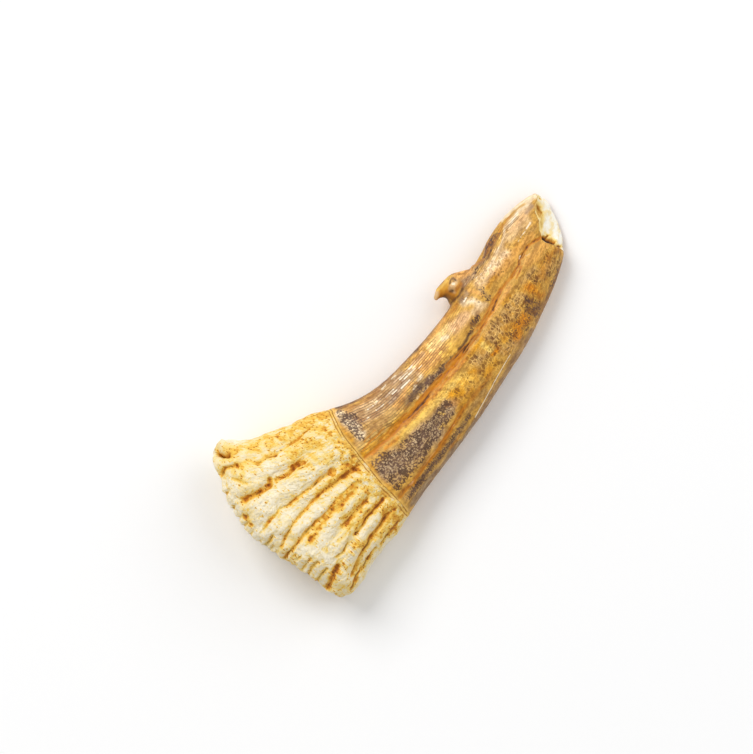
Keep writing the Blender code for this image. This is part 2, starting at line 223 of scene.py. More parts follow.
# Cracks in the crown's enamel on each side: depth, half width, rust and route.
UPPER_CRACKS = (
    (0.14, 0.26, 0.8, -16, -2.9, -14, -2.9, -12, -3.3, -9.6, -3.6, -7.7, -3.7, -6, -3.6),
    (0.16, 0.26, 1.2, -6, -3.6, -4.6, -3.8, -3.6, -3.85, -1.4, -3.9, 0.5, -3.8),
    (0.16, 0.26, 0.9, 0.5, -3.8, 2.5, -3.7, 4.5, -3.6, 6.5, -3.7, 8.3, -3.5),
    (0.2, 0.3, 1.5, 8.3, -3.4, 9.6, -3.25, 10.6, -3.2, 11.8, -3.2),
    (0.18, 0.2, 1, 11.6, -3.1, 13.4, -2.9, 15, -2.5, 16.3, -2.35),
    (0.24, 0.2, 1.5, 16.3, -2.35, 17, -2.05, 17.8, -1.8),
    (0.16, 0.16, 1, 17.8, -1.8, 19.2, -1.4, 21, -1.15, 23, -1, 24.2, -0.7),
    (0.18, 0.2, 1.3, 24.2, -0.7, 24.9, -0.25, 26, -0.1, 27.3, 0.2),
    (0.16, 0.2, 1.1, 27.3, 0.2, 28.4, 0.05, 29.2, -0.25, 30, -0.35),
    (0.06, 0.14, 0.8, -13.6, -1.9, -11.5, -1.9, -8.5, -2.1),
    (0.06, 0.12, 0.7, -12.2, -1.2, -9.8, -1.3),
    (0.08, 0.14, 0.8, -10.6, -2.9, -7.6, -3.05, -4.6, -3.1),
    (0.1, 0.18, 1, -2.5, -3.15, 0, -3.15, 1.8, -3.2, 3.4, -3.15),
    (0.1, 0.22, 1.2, 5, -3, 6.3, -2.95, 7.8, -2.9, 9.2, -2.95),
    (0.1, 0.14, 0.45, -8.6, -4, -4, -4.05, 0, -4.1, 4, -4.15, 7.6, -4.2),
    (0.06, 0.14, 0.9, 12.6, -2.5, 14.2, -2.3, 16, -1.9, 17.6, -1.3, 19.6, -1.1),
    (0.06, 0.14, 0.9, 22.4, -1.7, 23.4, -1.5, 24.4, -1.1),
    (0.08, 0.18, 0.7, -16, -11.1, -13, -11.1, -10, -10.9, -8, -10.7, -5, -10.4),
    (0.08, 0.18, 0.9, -5, -10.2, -3, -10.1, -1.4, -9.7, 0.6, -9.3, 2.4, -9.1),
)
LOWER_CRACKS = (
    (0.18, 0.3, 1, -16.5, -2.8, -8, -3.4, 0, -3.6, 8, -3.2, 16, -2, 22, -0.7, 29, -0.2),
    (0.1, 0.22, 0.8, -6, -2.7, 0, -3, 7, -2.6, 14, -1.7),
    (0.08, 0.2, 0.7, -15.5, -9.8, -8, -9.7, 0, -9.1, 6, -8.3),
)
# Open gaps at the tip, in the same terms; their stain is partly brown stain, in the slit on the break, and
# partly painted shade in the gaps.
TIP_GAPS = (
    (0.7, 0.28, 2, 30.05, -0.8, 30.15, -1.4, 30.35, -1.9, 30.6, -2.4),
    (0.2, 0.14, 1.3, 30.1, -1.05, 30.75, -1),
    (0.2, 0.08, 0.6, 33.15, 3.3, 33.05, 2.8, 33, 2.3, 32.6, 1.7),
    (0.25, 0.14, 1, 30.5, -3.1, 30.75, -3.6),
)
# The sharp line along the low side of the crown.
KEEL = (-2, -12.2, 0, -11.7, 2, -11.4, 5, -10.7, 8, -9.95, 9.5, -9.65, 11, -9.35, 13, -8.9, 14.5, -8.55,
        16, -8.3)
KEEL_HEIGHT, KEEL_HALF_WIDTH = 0.16, 0.3


def as_points(obj):
    points = np.empty(len(obj.data.vertices) * 3)
    obj.data.vertices.foreach_get("co", points)
    return points.reshape(-1, 3) / MM


def set_points(obj, points):
    obj.data.vertices.foreach_set("co", (points * MM).ravel())
    obj.data.update()


def normals_of(obj):
    normals = np.empty(len(obj.data.vertices) * 3)
    obj.data.vertices.foreach_get("normal", normals)
    return normals.reshape(-1, 3)


def hashed(cells, seed):
    """A number from -1 to 1 for each whole-numbered cell."""
    x, y, z = (cells + 5000).astype(np.uint64).T
    mixed = x * np.uint64(73856093) ^ y * np.uint64(19349663) ^ z * np.uint64(83492791)
    mixed ^= np.uint64(seed * 6542989)
    for turn, factor in ((15, 2246822519), (13, 3266489917)):
        mixed = (mixed ^ mixed >> np.uint64(turn)) * np.uint64(factor) & np.uint64(0xFFFFFFFF)
    return (mixed ^ mixed >> np.uint64(16)) / 2.0**31 - 1


def noise(points, size, seed, octaves=1):
    """Smooth noise from about -1 to 1 in lumps of a size, which may differ along X, Y and Z."""
    total = np.zeros(len(points))
    for octave in range(octaves):
        at = points / np.asarray(size, float) * 2**octave + 31.7 * octave
        cell = np.floor(at)
        f = at - cell
        f = f * f * (3 - 2 * f)
        for corner in np.ndindex(2, 2, 2):
            weight = np.prod(np.where(corner, f, 1 - f), axis=1)
            total += weight * hashed(cell + corner, seed + octave) / 2**octave
    return total


def layered(points, layers):
    """Noises added up, each given as its height, the size of its lumps and its seed."""
    return sum(high * noise(points, size, seed) for high, size, seed in layers)


def varied(points, middle, swing, size, seed, octaves=1):
    """A number that varies by a swing either side of its middle."""
    return middle + swing * noise(points, size, seed, octaves)


def drift(points, far, size, *seeds):
    """How far each point wanders in X and Y."""
    return far * np.column_stack([noise(points, size, seed) for seed in seeds])


def step(value, low, high):
    """0 below low, 1 above high, and a smooth rise between."""
    f = np.clip((value - low) / (high - low), 0, 1)
    return f * f * (3 - 2 * f)


def route_distance(xy, route):
    """How far each point is from a route of straight stretches."""
    corners = np.reshape(route, (-1, 2)).astype(float)
    nearest = np.full(len(xy), np.inf)
    for start, run in zip(corners, np.diff(corners, axis=0)):
        share = np.clip((xy - start) @ run / (run @ run), 0, 1)
        nearest = np.minimum(nearest, np.hypot(*(xy - start - share[:, None] * run).T))
    return nearest


def bump(distance, half_width):
    return np.exp(-((distance / half_width) ** 2))


def cone(distance, half_width):
    """1 on a line and 0.5 at its half width, for lines whose edges are drawn in the material."""
    return np.clip(1 - 0.5 * distance / half_width, 0, 1)


def flow_of(points):
    """Coordinates along and across the spine, and Z: lines of equal Y there run from root to tip."""
    low, high = (np.interp(points[:, 0], *edge) for edge in (CONVEX_EDGE, CONCAVE_EDGE))
    share = (points[:, 1] - low) / (high - low)
    return np.column_stack([points[:, 0], share * MEAN_WIDTH, points[:, 2]])


def girth_of(points, flow):
    """Coordinates along the spine and round it, which run on down its sides from its shoulders, and 0."""
    below = np.maximum(np.interp(points[:, 0], *SHOULDERS) - points[:, 2], 0)
    side = np.sign(flow[:, 1] - 0.5 * MEAN_WIDTH)
    return np.column_stack([points[:, 0], flow[:, 1] + side * below, np.zeros(len(points))])


def enamel_reach(points):
    """How far each point is onto the crown from the enamel's edge."""
    return points[:, 0] - np.interp(points[:, 1], *ENAMEL_EDGE) + layered(points, ENAMEL_WANDER)


def break_x(y, z):
    """The old break's X at each Y and Z: a rough, dished face between its upper and lower rims."""
    top, low, top_z = (np.interp(y, BREAK_Y, rim) for rim in (BREAK_TOP_X, BREAK_LOW_X, BREAK_TOP_Z))
    rise = np.clip((z - BREAK_LOW_Z) / (top_z - BREAK_LOW_Z), -0.5, 1.6)
    dish = BREAK_DISH * np.sin(math.pi * np.clip(rise, 0, 1))
    rough = layered(np.column_stack([np.zeros(len(y)), y, z]), BREAK_GRAIN)
    return low + rise * (top - low) - dish + rough


def put_in_scene(name, data):
    made = bpy.data.objects.new(name, data)
    bpy.context.scene.collection.objects.link(made)
    return made


def mesh_from(name, build):
    """Mesh data that a function builds in a bmesh."""
    mesh = bmesh.new()
    build(mesh)
    data = bpy.data.meshes.new(name)
    mesh.to_mesh(data)
    mesh.free()
    return data


def build_cutter(mesh):
    """A block whose near face is the old break, for cutting the tip off."""
    made = bmesh.ops.create_grid(mesh, x_segments=CUTTER_STEPS, y_segments=CUTTER_STEPS, size=CUTTER_REACH)
    y, z = np.array([vert.co for vert in made["verts"]])[:, :2].T
    z = z + CUTTER_MIDDLE_Z
    for vert, place in zip(made["verts"], np.column_stack([break_x(y, z), y, z]) * MM):
        vert.co = place
    block = bmesh.ops.extrude_face_region(mesh, geom=mesh.faces[:], use_keep_orig=True)
    for vert in (e for e in block["geom"] if isinstance(e, bmesh.types.BMVert)):
        vert.co.x = CUTTER_END * MM
    bmesh.ops.recalc_face_normals(mesh, faces=mesh.faces)


def apply_modifiers(obj):
    bpy.context.view_layer.update()
    result = obj.evaluated_get(bpy.context.evaluated_depsgraph_get())
    obj.data = bpy.data.meshes.new_from_object(result)
    obj.modifiers.clear()


def fine_skin():
    """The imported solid's skin in small even faces, drawn out past its flat break."""
    obj = put_in_scene("fossil_spine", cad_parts[NODE].data.copy())
    points = as_points(obj)
    start, along_y, along_z = SOLID_BREAK
    from_break = points[:, 0] - start - along_y * points[:, 1] - along_z * points[:, 2]
    points[np.abs(from_break) < ON_BREAK, 0] += DRAWN_OUT
    set_points(obj, points)
    remesh = obj.modifiers.new("skin", "REMESH")
    remesh.mode = "VOXEL"
    remesh.voxel_size = VOXEL * MM
    apply_modifiers(obj)
    return obj


def break_off(obj):
    """Cuts the tip off along the old break, which leaves the break's rims crisp, and clears slivers."""
    cutter = put_in_scene("cutter", mesh_from("cutter", build_cutter))
    cut = obj.modifiers.new("break", "BOOLEAN")
    cut.object = cutter
    apply_modifiers(obj)
    bpy.data.objects.remove(cutter)
    mesh = bmesh.new()
    mesh.from_mesh(obj.data)
    bmesh.ops.remove_doubles(mesh, verts=mesh.verts, dist=MERGE_DISTANCE * MM)
    bmesh.ops.dissolve_degenerate(mesh, dist=MERGE_DISTANCE * MM, edges=mesh.edges)
    bmesh.ops.triangulate(mesh, faces=[face for face in mesh.faces if len(face.verts) > 4])
    mesh.to_mesh(obj.data)
    mesh.free()


def relax(points, edges, rounds):
    """Smooths without shrinking: each round moves points towards their neighbours and then back a little."""
    count = np.bincount(edges.ravel(), minlength=len(points))[:, None]
    for share in [SMOOTH_IN, SMOOTH_OUT] * rounds:
        around = np.empty_like(points)
        for axis in range(3):
            ends = points[edges, axis]
            around[:, axis] = np.bincount(edges[:, 0], ends[:, 1], len(points))
            around[:, axis] += np.bincount(edges[:, 1], ends[:, 0], len(points))
        points = points + share * (around / count - points)
    return points


def edges_of(obj):
    edges = np.empty(len(obj.data.edges) * 2, int)
    obj.data.edges.foreach_get("vertices", edges)
    return edges.reshape(-1, 2)


def carved(xy, table, warp):
    """The deepest of the furrows or cracks, the strongest stain, the slopes that lead down, and the seams."""
    depth, stain, slope, seam = np.zeros((4, len(xy)))
    for deep, half_width, strength, *route in table:
        distance = route_distance(xy + warp, route)
        depth = np.maximum(depth, deep * bump(distance, half_width))
        stain = np.maximum(stain, strength * bump(distance, 1.25 * half_width))
        slope = np.maximum(slope, deep * np.exp(-distance / SLOPE_WIDTH))
        seam = np.maximum(seam, min(strength, 1) * cone(distance, SEAM_WIDTH))
    return depth, stain, slope, seam


def pitted(xy, table):
    """The depth and stain of round pits; a wide one is deep and stained all over."""
    depth, stain = np.zeros((2, len(xy)))
    for x, y, radius, deep, strength in table:
        away = np.hypot(xy[:, 0] - x, xy[:, 1] - y)
        shape, flat = bump(away, 0.8 * radius), radius > WIDE_PIT
        depth = np.maximum(depth, deep * shape)
        stain = np.maximum(stain, strength * (step(away, 1.25 * radius, 0.8 * radius) if flat else shape))
    return depth, stain


def scattered_pits(points):
    """Small pits in random cells of space: 1 at a pit's middle, 0 outside it."""
    at = points / SMALL_PIT_CELL
    cell = np.floor(at)
    deepest = np.zeros(len(points))
    for offset in np.ndindex(3, 3, 3):
        home = cell + offset - 1
        middle = home + 0.5 + 0.45 * np.column_stack([hashed(home, seed) for seed in (21, 22, 23)])
        radius = SMALL_PIT_RADIUS * (0.6 + 0.4 * hashed(home, 24))
        away = np.linalg.norm(at - middle, axis=1) * SMALL_PIT_CELL
        deepest = np.maximum(deepest, bump(away, np.maximum(radius, 0.05)) * (hashed(home, 25) > 0))
    return deepest


class Surface:
    """The spine's points with what is known of each: where it lies, and its masks from 0 to 1."""

    def __init__(self, points, normals):
        self.points = points
        self.xy = points[:, :2]
        self.flow = flow_of(points)
        self.upper = step(normals[:, 2], -0.2, 0.2)
        self.reach = enamel_reach(points)
        self.crown = step(self.reach, -0.05, 0.15)
        self.root = 1 - self.crown
        self.broken = np.abs(points[:, 0] - break_x(points[:, 1], points[:, 2])) < ON_BREAK
        self.warp = drift(points, 0.14, 1.6, 1, 2) + drift(points, 0.05, 0.6, 3, 4)

    def both(self, upper, lower):
        """What holds on the upper side and on the lower side, blended round the edges."""
        return self.upper * upper + (1 - self.upper) * lower


def shape_root(s):
    """Depth and stain of the root's furrows and notches."""
    sides = (UPPER_FURROWS, s.warp), (LOWER_FURROWS, 2.5 * s.warp)
    depth, stain, s.slope, s.seam = (s.both(*pair) for pair in zip(*(carved(s.xy, *side) for side in sides)))
    depth = CHANNEL_SHARE * depth + SLOPE_SHARE * s.slope
    depth *= varied(s.points, 0.85, 0.3, (1.6, 1, 1.6), 31)
    stain *= varied(s.points, 0.8, 0.5, (1.2, 0.7, 1.2), 32)
    from_rim = s.points[:, 0] - np.interp(s.points[:, 1], *RIM)
    s.rim = step(from_rim, 2.2, 0.4)
    along = np.clip(from_rim / NOTCH_LENGTH, -0.3, None)
    fade = np.exp(-2.5 * along**2) * (along < 1.5)
    for y, deep in RIM_NOTCHES:
        shape = bump(s.points[:, 1] + s.warp[:, 1] - y, NOTCH_HALF_WIDTH) * fade
        depth = np.maximum(depth, deep * shape)
        stain = np.maximum(stain, NOTCH_STAIN * shape)
    return depth, stain


def shape_cracks(s):
    """Depth and rust of the crown's groove and cracks."""
    ragged = 0.6 * s.warp + drift(s.points, 0.11, 0.5, 5, 6)
    upper, lower = (carved(s.xy, table, ragged) for table in (UPPER_CRACKS, LOWER_CRACKS))
    depth, rust = (s.both(*pair) for pair in zip(upper[:2], lower[:2]))
    depth *= varied(s.points, 1.15, 0.7, (0.8, 0.5, 0.8), 7)
    return depth, rust * varied(s.points, 1.0, 0.45, (0.9, 0.35, 0.9), 8)


def shape_all(s):
    """How far each point moves outwards. The masks that the carving gives are kept in the surface."""
    furrow_depth, furrow_stain = shape_root(s)
    crack_depth, rust = shape_cracks(s)
    gap_depth, gap_stain_and_shade = carved(s.xy, TIP_GAPS, 0.3 * s.warp)[:2]
    pits = pitted(s.xy + 0.5 * s.warp, UPPER_PITS), pitted(s.xy, LOWER_PITS)
    pit_depth, pit_stain = (s.both(*pair) for pair in zip(*pits))
    small = scattered_pits(s.points) * s.root
    s.crimp = stroked(s, CRIMPS) * s.root * s.upper
    rough = layered(s.flow, ROOT_GRAIN) + 0.07 * noise(s.points, 0.42, 43)
    rough += 0.28 * s.crimp * noise(s.flow, (0.45, 2, 1), 44) + 0.16 * s.rim * noise(s.points, 0.9, 46)
    grain = layered(s.flow, CROWN_GRAIN) + 0.02 * noise(s.points, 0.5, 53)
    out = s.root * (ROOT_PROUD + rough - furrow_depth - SMALL_PIT_DEPTH * small)
    out += s.crown * (grain - crack_depth + CROWN_PROUD)
    out += KEEL_HEIGHT * bump(route_distance(s.xy + 0.3 * s.warp, KEEL), KEEL_HALF_WIDTH) * s.upper
    for x, y, radius, high in UPPER_LUMPS:
        out += high * bump(np.hypot(s.xy[:, 0] - x, s.xy[:, 1] - y), radius) * s.upper
    out -= 0.07 * bump(s.reach + 0.35, 0.3)  # the dip behind the enamel's edge
    out = np.where(s.broken, 0.04 * noise(s.points, 0.4, 61), out) - pit_depth - gap_depth * s.upper
    # Stain in furrows, pits and gaps, deepened with painted shade in the hollows and gaps.
    s.cavity = np.clip(furrow_stain * s.root + pit_stain + gap_stain_and_shade * s.upper + 0.7 * small, 0, 2)
    s.rust = rust * s.crown
    return out


def build_spine():
    obj = fine_skin()
    points = as_points(obj)
    set_points(obj, relax(points, edges_of(obj), SMOOTHING))
    break_off(obj)
    points = as_points(obj)
    normals = normals_of(obj)
    surface = Surface(points, normals)
    low, high = (np.array(corner) / MM for corner in CAD_BOX)
    set_points(obj, np.clip(points + normals * shape_all(surface)[:, None], low, high))
    obj.data.shade_smooth()
    obj.data.set_sharp_from_angle(angle=SHARP)
    return obj, surface


# ---------------------------------------------------------------- colour


def srgb(red, green, blue):
    """A colour given from 0 to 255 a channel, in the linear values that shaders use."""
    c = np.array([red, green, blue]) / 255
    return tuple(np.where(c <= 0.04045, c / 12.92, ((c + 0.055) / 1.055) ** 2.4))


BONE = srgb(255, 253, 242)
CHALK = srgb(255, 243, 214)
CREAM = srgb(249, 230, 184)
PALE_YELLOW = srgb(252, 221, 136)
OCHRE = srgb(242, 188, 78)
SAFFRON = srgb(247, 199, 84)
BUTTER = srgb(244, 200, 102)
ORANGE = srgb(218, 142, 36)
RUST = srgb(176, 104, 38)
BROWN = srgb(128, 78, 32)
UMBER = srgb(62, 38, 20)
HONEY = srgb(208, 156, 66)
TAN = srgb(192, 150, 98)
SAND = srgb(230, 192, 140)
KHAKI = srgb(198, 152, 84)
OLIVE = srgb(190, 150, 82)
STRAW = srgb(236, 194, 98)
AMBER = srgb(232, 168, 82)
# GLOW paints a glow, as of light shining through the amber enamel.
GLOW = srgb(252, 212, 134)
GOLD = srgb(214, 148, 24)
MANGO = srgb(208, 128, 4)
COPPER = srgb(180, 112, 26)
RUSSET = srgb(166, 106, 54)
SEPIA = srgb(136, 88, 42)
BARK = srgb(88, 56, 30)
TAUPE = srgb(146, 116, 80)
MAUVE = srgb(162, 130, 102)
PETAL = srgb(238, 188, 130)
IVORY = srgb(244, 220, 180)
# GLINT is the colour of painted highlights on the enamel, and of its pale lines.
GLINT = srgb(255, 240, 210)
DUSK = srgb(74, 48, 38)
UMBER_GREY = srgb(104, 74, 60)
FAWN = srgb(194, 162, 122)
# The facet's grey-brown, darkened as painted shade where it faces away from the light.
SHADED_FACET = srgb(160, 120, 72)
DEEP_GOLD = srgb(138, 88, 20)

# Strokes of colour, as colour, strength, half width and route; later ones lie over earlier ones.
# Some strokes are painted shade, highlight or glow, as said above them.
UPPER_STROKES = (
    (GOLD, 1, 0.8, -12.4, 5.6, -13.4, 3, -14, 0, -14.2, -2.4),
    (GOLD, 1, 0.5, -14.6, -4.4, -15.1, -7, -15.5, -10.6),
    (FAWN, 1, 2.3, -12.6, -7, -8, -7.6, -4, -7.9),
    (FAWN, 0.8, 1.4, -3, -7.4, 0.6, -7.3),
    (TAUPE, 0.5, 1.2, -4.5, -7.4, -1.5, -7.6),
    (OCHRE, 0.8, 0.3, -1.4, -7, -0.9, -7.5),
    (OCHRE, 0.7, 0.25, -2.9, -8.6, -2.2, -8.5),
    (TAN, 1, 2, -11, 2.4, -9, 1.2, -4, 0.9, -1, 0.8),
    (KHAKI, 0.9, 0.9, -13, -0.6, -9, -0.9, -5, -1.6),
    (IVORY, 0.75, 0.9, -11.8, 4.4, -11.5, 2.2, -12, 0),
    (RUSSET, 0.5, 0.5, -10.4, 4, -9, 3.1, -7, 2.7, -5, 2.5),
    (RUSSET, 0.4, 0.35, -9.6, 3.7, -8.6, 2.6),
    (SAND, 0.5, 0.5, -9.8, 3, -8, 2.4),
    (SAND, 0.8, 0.45, -8.4, 1.7, -6.5, 1.5),
    (MAUVE, 0.6, 0.5, -5, -0.3, -2.5, 0.2, -1, 0.5),
    (MAUVE, 0.5, 0.4, -2.5, 1.5, -0.5, 1.7),
    (AMBER, 0.8, 0.3, -5, -1, -3, -0.8, -0.6, -0.6),
    (COPPER, 0.5, 0.3, -4.8, -1.6, -3, -1.4),
    (SAND, 0.8, 0.6, 0.4, 0.9, 1.4, 0.6, 1.2, -0.6),
    (AMBER, 0.9, 1.5, 2.6, 0.2, 4.5, -0.1, 6, -0.3),
    (PETAL, 0.8, 0.5, 2, 1, 3.8, 1.2),
    # This stroke and the next paint a glow of light through the amber enamel, brightest at its core.
    (GLOW, 0.9, 0.9, 5.6, 0.9, 8, 0.8, 9.6, 0.8),
    (IVORY, 0.7, 0.4, 7.8, 0.5, 8.4, 0.2),
    (OCHRE, 0.8, 0.7, 6.2, -1.2, 7.2, -1.8, 8.4, -1),
    (PETAL, 0.9, 1.1, 10.4, 0.4, 12.4, 0.2),
    (COPPER, 0.5, 0.4, 10.5, -0.2, 10.8, 0),
    (AMBER, 0.8, 0.3, 2.5, 1.8, 6, 1.8, 10, 2),
    (COPPER, 0.7, 0.35, 10.3, 2.2, 12, 2.2, 13.2, 2.4),
    # Brown along the concave edge: partly stain, partly painted shade where the edge rolls away.
    (SEPIA, 0.8, 0.4, -11, 5.3, -9, 4.2, -6, 3.3, -3, 2.75, 0, 2.5, 4, 2.4, 8, 2.5, 12.4, 3),
    (BARK, 0.8, 0.2, -11.4, 5.7, -9, 4.4, -6, 3.4, -3, 2.8, 0, 2.55, 4, 2.45, 8, 2.55, 12, 2.9),
    (IVORY, 0.75, 0.7, 14.2, 1.6, 15.2, 0.9, 15.4, -0.1),
    (SAND, 0.8, 0.7, 14.2, -0.6, 16, -1),
    (MAUVE, 0.8, 0.5, 14.1, 2.2, 15.6, 2.4),
    (AMBER, 0.8, 0.3, 16.2, 2.4, 16.6, 1.6, 17, 0.6),
    (TAUPE, 0.5, 0.3, 17.3, 1.6, 17.5, 0.6, 17.3, -0.8),
    (SEPIA, 0.8, 0.25, 13.3, 3, 15, 3.05, 16.2, 3.3),
    (MAUVE, 0.7, 0.6, 16.6, 3.6, 18.4, 3.3),
    (SAND, 1, 1.1, 18.4, 2, 21, 2, 24, 1.8),
    (AMBER, 0.8, 0.8, 20.5, 0.8, 24, 0.9, 29, 1),
    (GOLD, 0.9, 0.4, 18.4, 0.6, 19.6, 0.9, 20.3, 0.8),
    (TAUPE, 0.7, 0.4, 18.5, 3.8, 20.5, 3.7, 22, 3.7),
    (COPPER, 0.8, 0.35, 19.5, 4.3, 22, 4.5, 24, 4.9),
    (AMBER, 0.8, 0.5, 16.8, 4.8, 18.4, 4.3),
    (RUSSET, 0.6, 0.4, 21.2, 4.4, 23, 4.8, 25, 5.1),
    (BARK, 0.8, 0.1, 21.4, 4.4, 22, 4.6),
    (BARK, 0.9, 0.12, 22.6, 4.75, 23.2, 4.85),
    (BARK, 0.9, 0.12, 23.8, 5, 24.6, 5.1),
    (BARK, 0.8, 0.1, 25, 5.1, 25.7, 5.15),
    (BARK, 0.7, 0.08, 23.2, 4.5, 24, 4.7),
    (SEPIA, 0.8, 0.08, 25.2, 4.65, 26.4, 4.95, 27.4, 5.1),
    (COPPER, 0.8, 0.22, 22.5, 4.2, 24.5, 4.5, 27, 5.1, 29, 5.25),
    (SEPIA, 0.7, 0.2, 21.5, 3.6, 23.5, 3.9, 25.2, 4.6),
    (SAND, 0.6, 0.9, 26.5, 3.2, 30, 3),
    (PETAL, 0.7, 0.6, 27.6, 3.9, 31, 3.9),
    (IVORY, 0.9, 0.14, 20.6, 2.5, 22.6, 2.75, 24.5, 3.3, 26.3, 4.2, 27.5, 4.7),
    (SAND, 0.7, 0.4, 21.6, 2.6, 24.5, 3.2, 26.3, 4),
    (HONEY, 0.9, 0.28, 25.8, 5.35, 28.2, 5.5),
    (COPPER, 0.8, 0.1, 26.2, 5.2, 27.4, 5.35),
    # Cream along the tip's upper rim, brightened as a painted highlight.
    (IVORY, 1, 0.26, 27.5, 5.8, 30, 5.7, 33, 5.2),
    (SAND, 0.9, 0.5, 27.5, 4.5, 29.5, 4.7, 32, 4.5),
    (IVORY, 0.8, 0.28, 28, 4.4, 30.4, 4.9, 33, 4.6),
    (IVORY, 1, 0.5, 32.6, 5.3, 33.6, 4.9, 34.4, 4.4),
    (MAUVE, 0.8, 0.5, 31, 3.7, 32.4, 3.9),
    (KHAKI, 0.6, 0.5, 28.5, 1.6, 30.4, 1.5),
    (OLIVE, 0.8, 0.45, -14, -1.3, -10, -1.8, -6, -2.2),
    (GOLD, 0.7, 0.3, -13.8, -2.4, -10, -2.8, -5.5, -3),
    (MANGO, 0.9, 0.38, -12.8, -3.3, -9, -3.5, -5, -3.55, 0, -3.5, 4, -3.5, 8, -3.5),
    (MANGO, 0.9, 0.3, -6, -4.2, 2, -4.4, 7.8, -4.4),
    (COPPER, 0.4, 0.2, -6, -4.25, 2, -4.35, 7.8, -4.3),
    (OCHRE, 0.9, 0.3, -9.5, -4.7, -6, -4.85, -1, -4.9, 4, -5),
    (STRAW, 0.8, 0.4, -8.5, -5.2, -4, -5.3, 0, -5.5, 6, -5.6),
    (MANGO, 0.8, 0.28, -10.8, -4.4, -8.4, -4.6),
    (MANGO, 0.7, 0.3, -2, -4.3, -1.5, -4.6),
    (GOLD, 0.9, 0.35, 8.2, -4.3, 11, -4.3, 13.8, -4),
    (COPPER, 0.8, 0.28, 12, -2.4, 14.5, -2.2, 17, -1.6, 20, -1.1, 23, -0.9),
    (AMBER, 0.8, 0.35, 13.5, -3.2, 17, -2.6, 21, -1.8),
    (TAUPE, 0.8, 0.75, -3.4, -2.1, -1.2, -2, 1.4, -2.2, 4, -2.5),
    (DUSK, 0.6, 0.5, -2.4, -2.2, -1.3, -2, -0.2, -1.9),
    (UMBER_GREY, 0.6, 0.5, 0.8, -2.4, 2.5, -2.3, 4.2, -2.6, 6.3, -2.6),
    (BARK, 0.9, 0.32, 7.4, -2.7, 9, -2.6, 10.4, -2.3, 11.6, -2.2),
    (SEPIA, 0.7, 0.4, 12.3, -1.4, 13.4, -1.5, 14.4, -1),
    (IVORY, 0.9, 0.24, -1.1, -1.5, -0.6, -1.4),
    (IVORY, 0.8, 0.3, 0.2, -1.1, 1.1, -1.1),
    (SAND, 0.8, 0.28, -0.6, -2.9, 0.5, -2.7),
    (SAND, 0.8, 0.16, -2, -2.85, -1.6, -2.85),
    (SAND, 0.9, 0.2, 2.8, -2.4, 3, -2.5),
    (SAND, 0.9, 0.2, 3.1, -3, 3.5, -3),
    (FAWN, 0.8, 0.2, 1.7, -2, 1.9, -2),
    (OCHRE, 0.8, 0.4, 6.8, -1.9, 7.6, -2.4),
    (COPPER, 0.6, 0.6, 0.6, -6.9, 1.8, -7.8),
    (MANGO, 0.6, 0.5, 2.4, -6.2, 3.4, -7.6),
    (GOLD, 0.8, 0.8, 2.2, -6.4, 3.6, -7.2),
    (COPPER, 0.45, 0.5, 4.2, -8.2, 6.2, -8),
    (COPPER, 0.45, 0.35, 7, -6.6, 8.2, -7.4),
    (OCHRE, 0.6, 1, 4.8, -6.4, 6, -7.2, 5.4, -5.8),
    (GOLD, 0.6, 0.3, 6.4, -6.2, 7.4, -6.5),
    (KHAKI, 0.9, 0.9, 8.6, -5.8, 10.4, -6),
    (COPPER, 0.5, 0.5, 13, -8.2, 15.5, -8.6),
    (STRAW, 1, 0.45, 11.3, -4.9, 11.4, -6.4),
    (SEPIA, 0.7, 0.35, 12.7, -4.9, 12.7, -6.3),
    (MANGO, 1, 0.42, 11, -7.1, 12.7, -7.3),
    (COPPER, 0.8, 0.3, 12.7, -6.8, 12.8, -8),
    (COPPER, 0.6, 0.4, 8, -8.4, 9.4, -8.6),
    (GOLD, 0.6, 0.6, 8, -8.2, 10.5, -8.2),
    (KHAKI, 0.8, 1, 13, -8.2, 15, -8, 15.2, -6),
    (KHAKI, 0.8, 1.2, 13.2, -4.6, 18, -4.2, 20.4, -4.2),
    (GOLD, 0.6, 0.8, 14.4, -6.8, 16.4, -6, 19.2, -5.6),
    (MANGO, 0.8, 0.9, 15.8, -7.9, 16.8, -7.1, 18.8, -6.8),
    (GOLD, 0.8, 0.4, 16.2, -5.9, 17.4, -6),
    (COPPER, 0.7, 0.5, 18, -7.6, 19.3, -7.7),
    (KHAKI, 0.6, 0.7, 16.4, -5.6, 19, -5.5),
    (SEPIA, 0.8, 0.25, 21.3, -4.3, 21.4, -5),
    (SEPIA, 0.8, 0.6, 20, -6.6, 20.4, -7.6),
    (SEPIA, 0.8, 0.5, 20.6, -5.4, 21.4, -6),
    (SEPIA, 0.7, 0.6, 20.4, -7.6, 22, -7.2),
    (DEEP_GOLD, 0.3, 1, 22.7, -4.3, 23.2, -5.2, 23, -6),
    (MANGO, 0.8, 0.95, 22.7, -4.3, 23.2, -5.2, 23, -6),
    (OCHRE, 0.6, 0.4, 23.6, -5, 23.4, -6),
    (GOLD, 0.7, 0.5, 18.2, -2.8, 19.6, -2.8),
    (GOLD, 0.6, 0.5, 26.4, -3.4, 28.6, -3),
    (KHAKI, 0.8, 0.5, 22.4, -2.8, 25.5, -2.8),
    (AMBER, 0.6, 0.8, 25.5, -1.6, 29, -1.6),
    (COPPER, 0.7, 0.5, 28.2, -3.4, 30.3, -3.6),
    (SEPIA, 0.6, 0.28, 29.5, -4.2, 30.4, -3.6),
    (OLIVE, 0.6, 0.6, 26.5, -5.2, 29.4, -4.6),
    (RUSSET, 0.45, 0.9, 25, -4.4, 28, -3.9),
    (SEPIA, 0.8, 0.3, 19.5, -8.7, 22, -8, 25.5, -6.8, 29.6, -5.4),
    (GOLD, 0.6, 0.4, 1, -8.6, 5, -8.5),
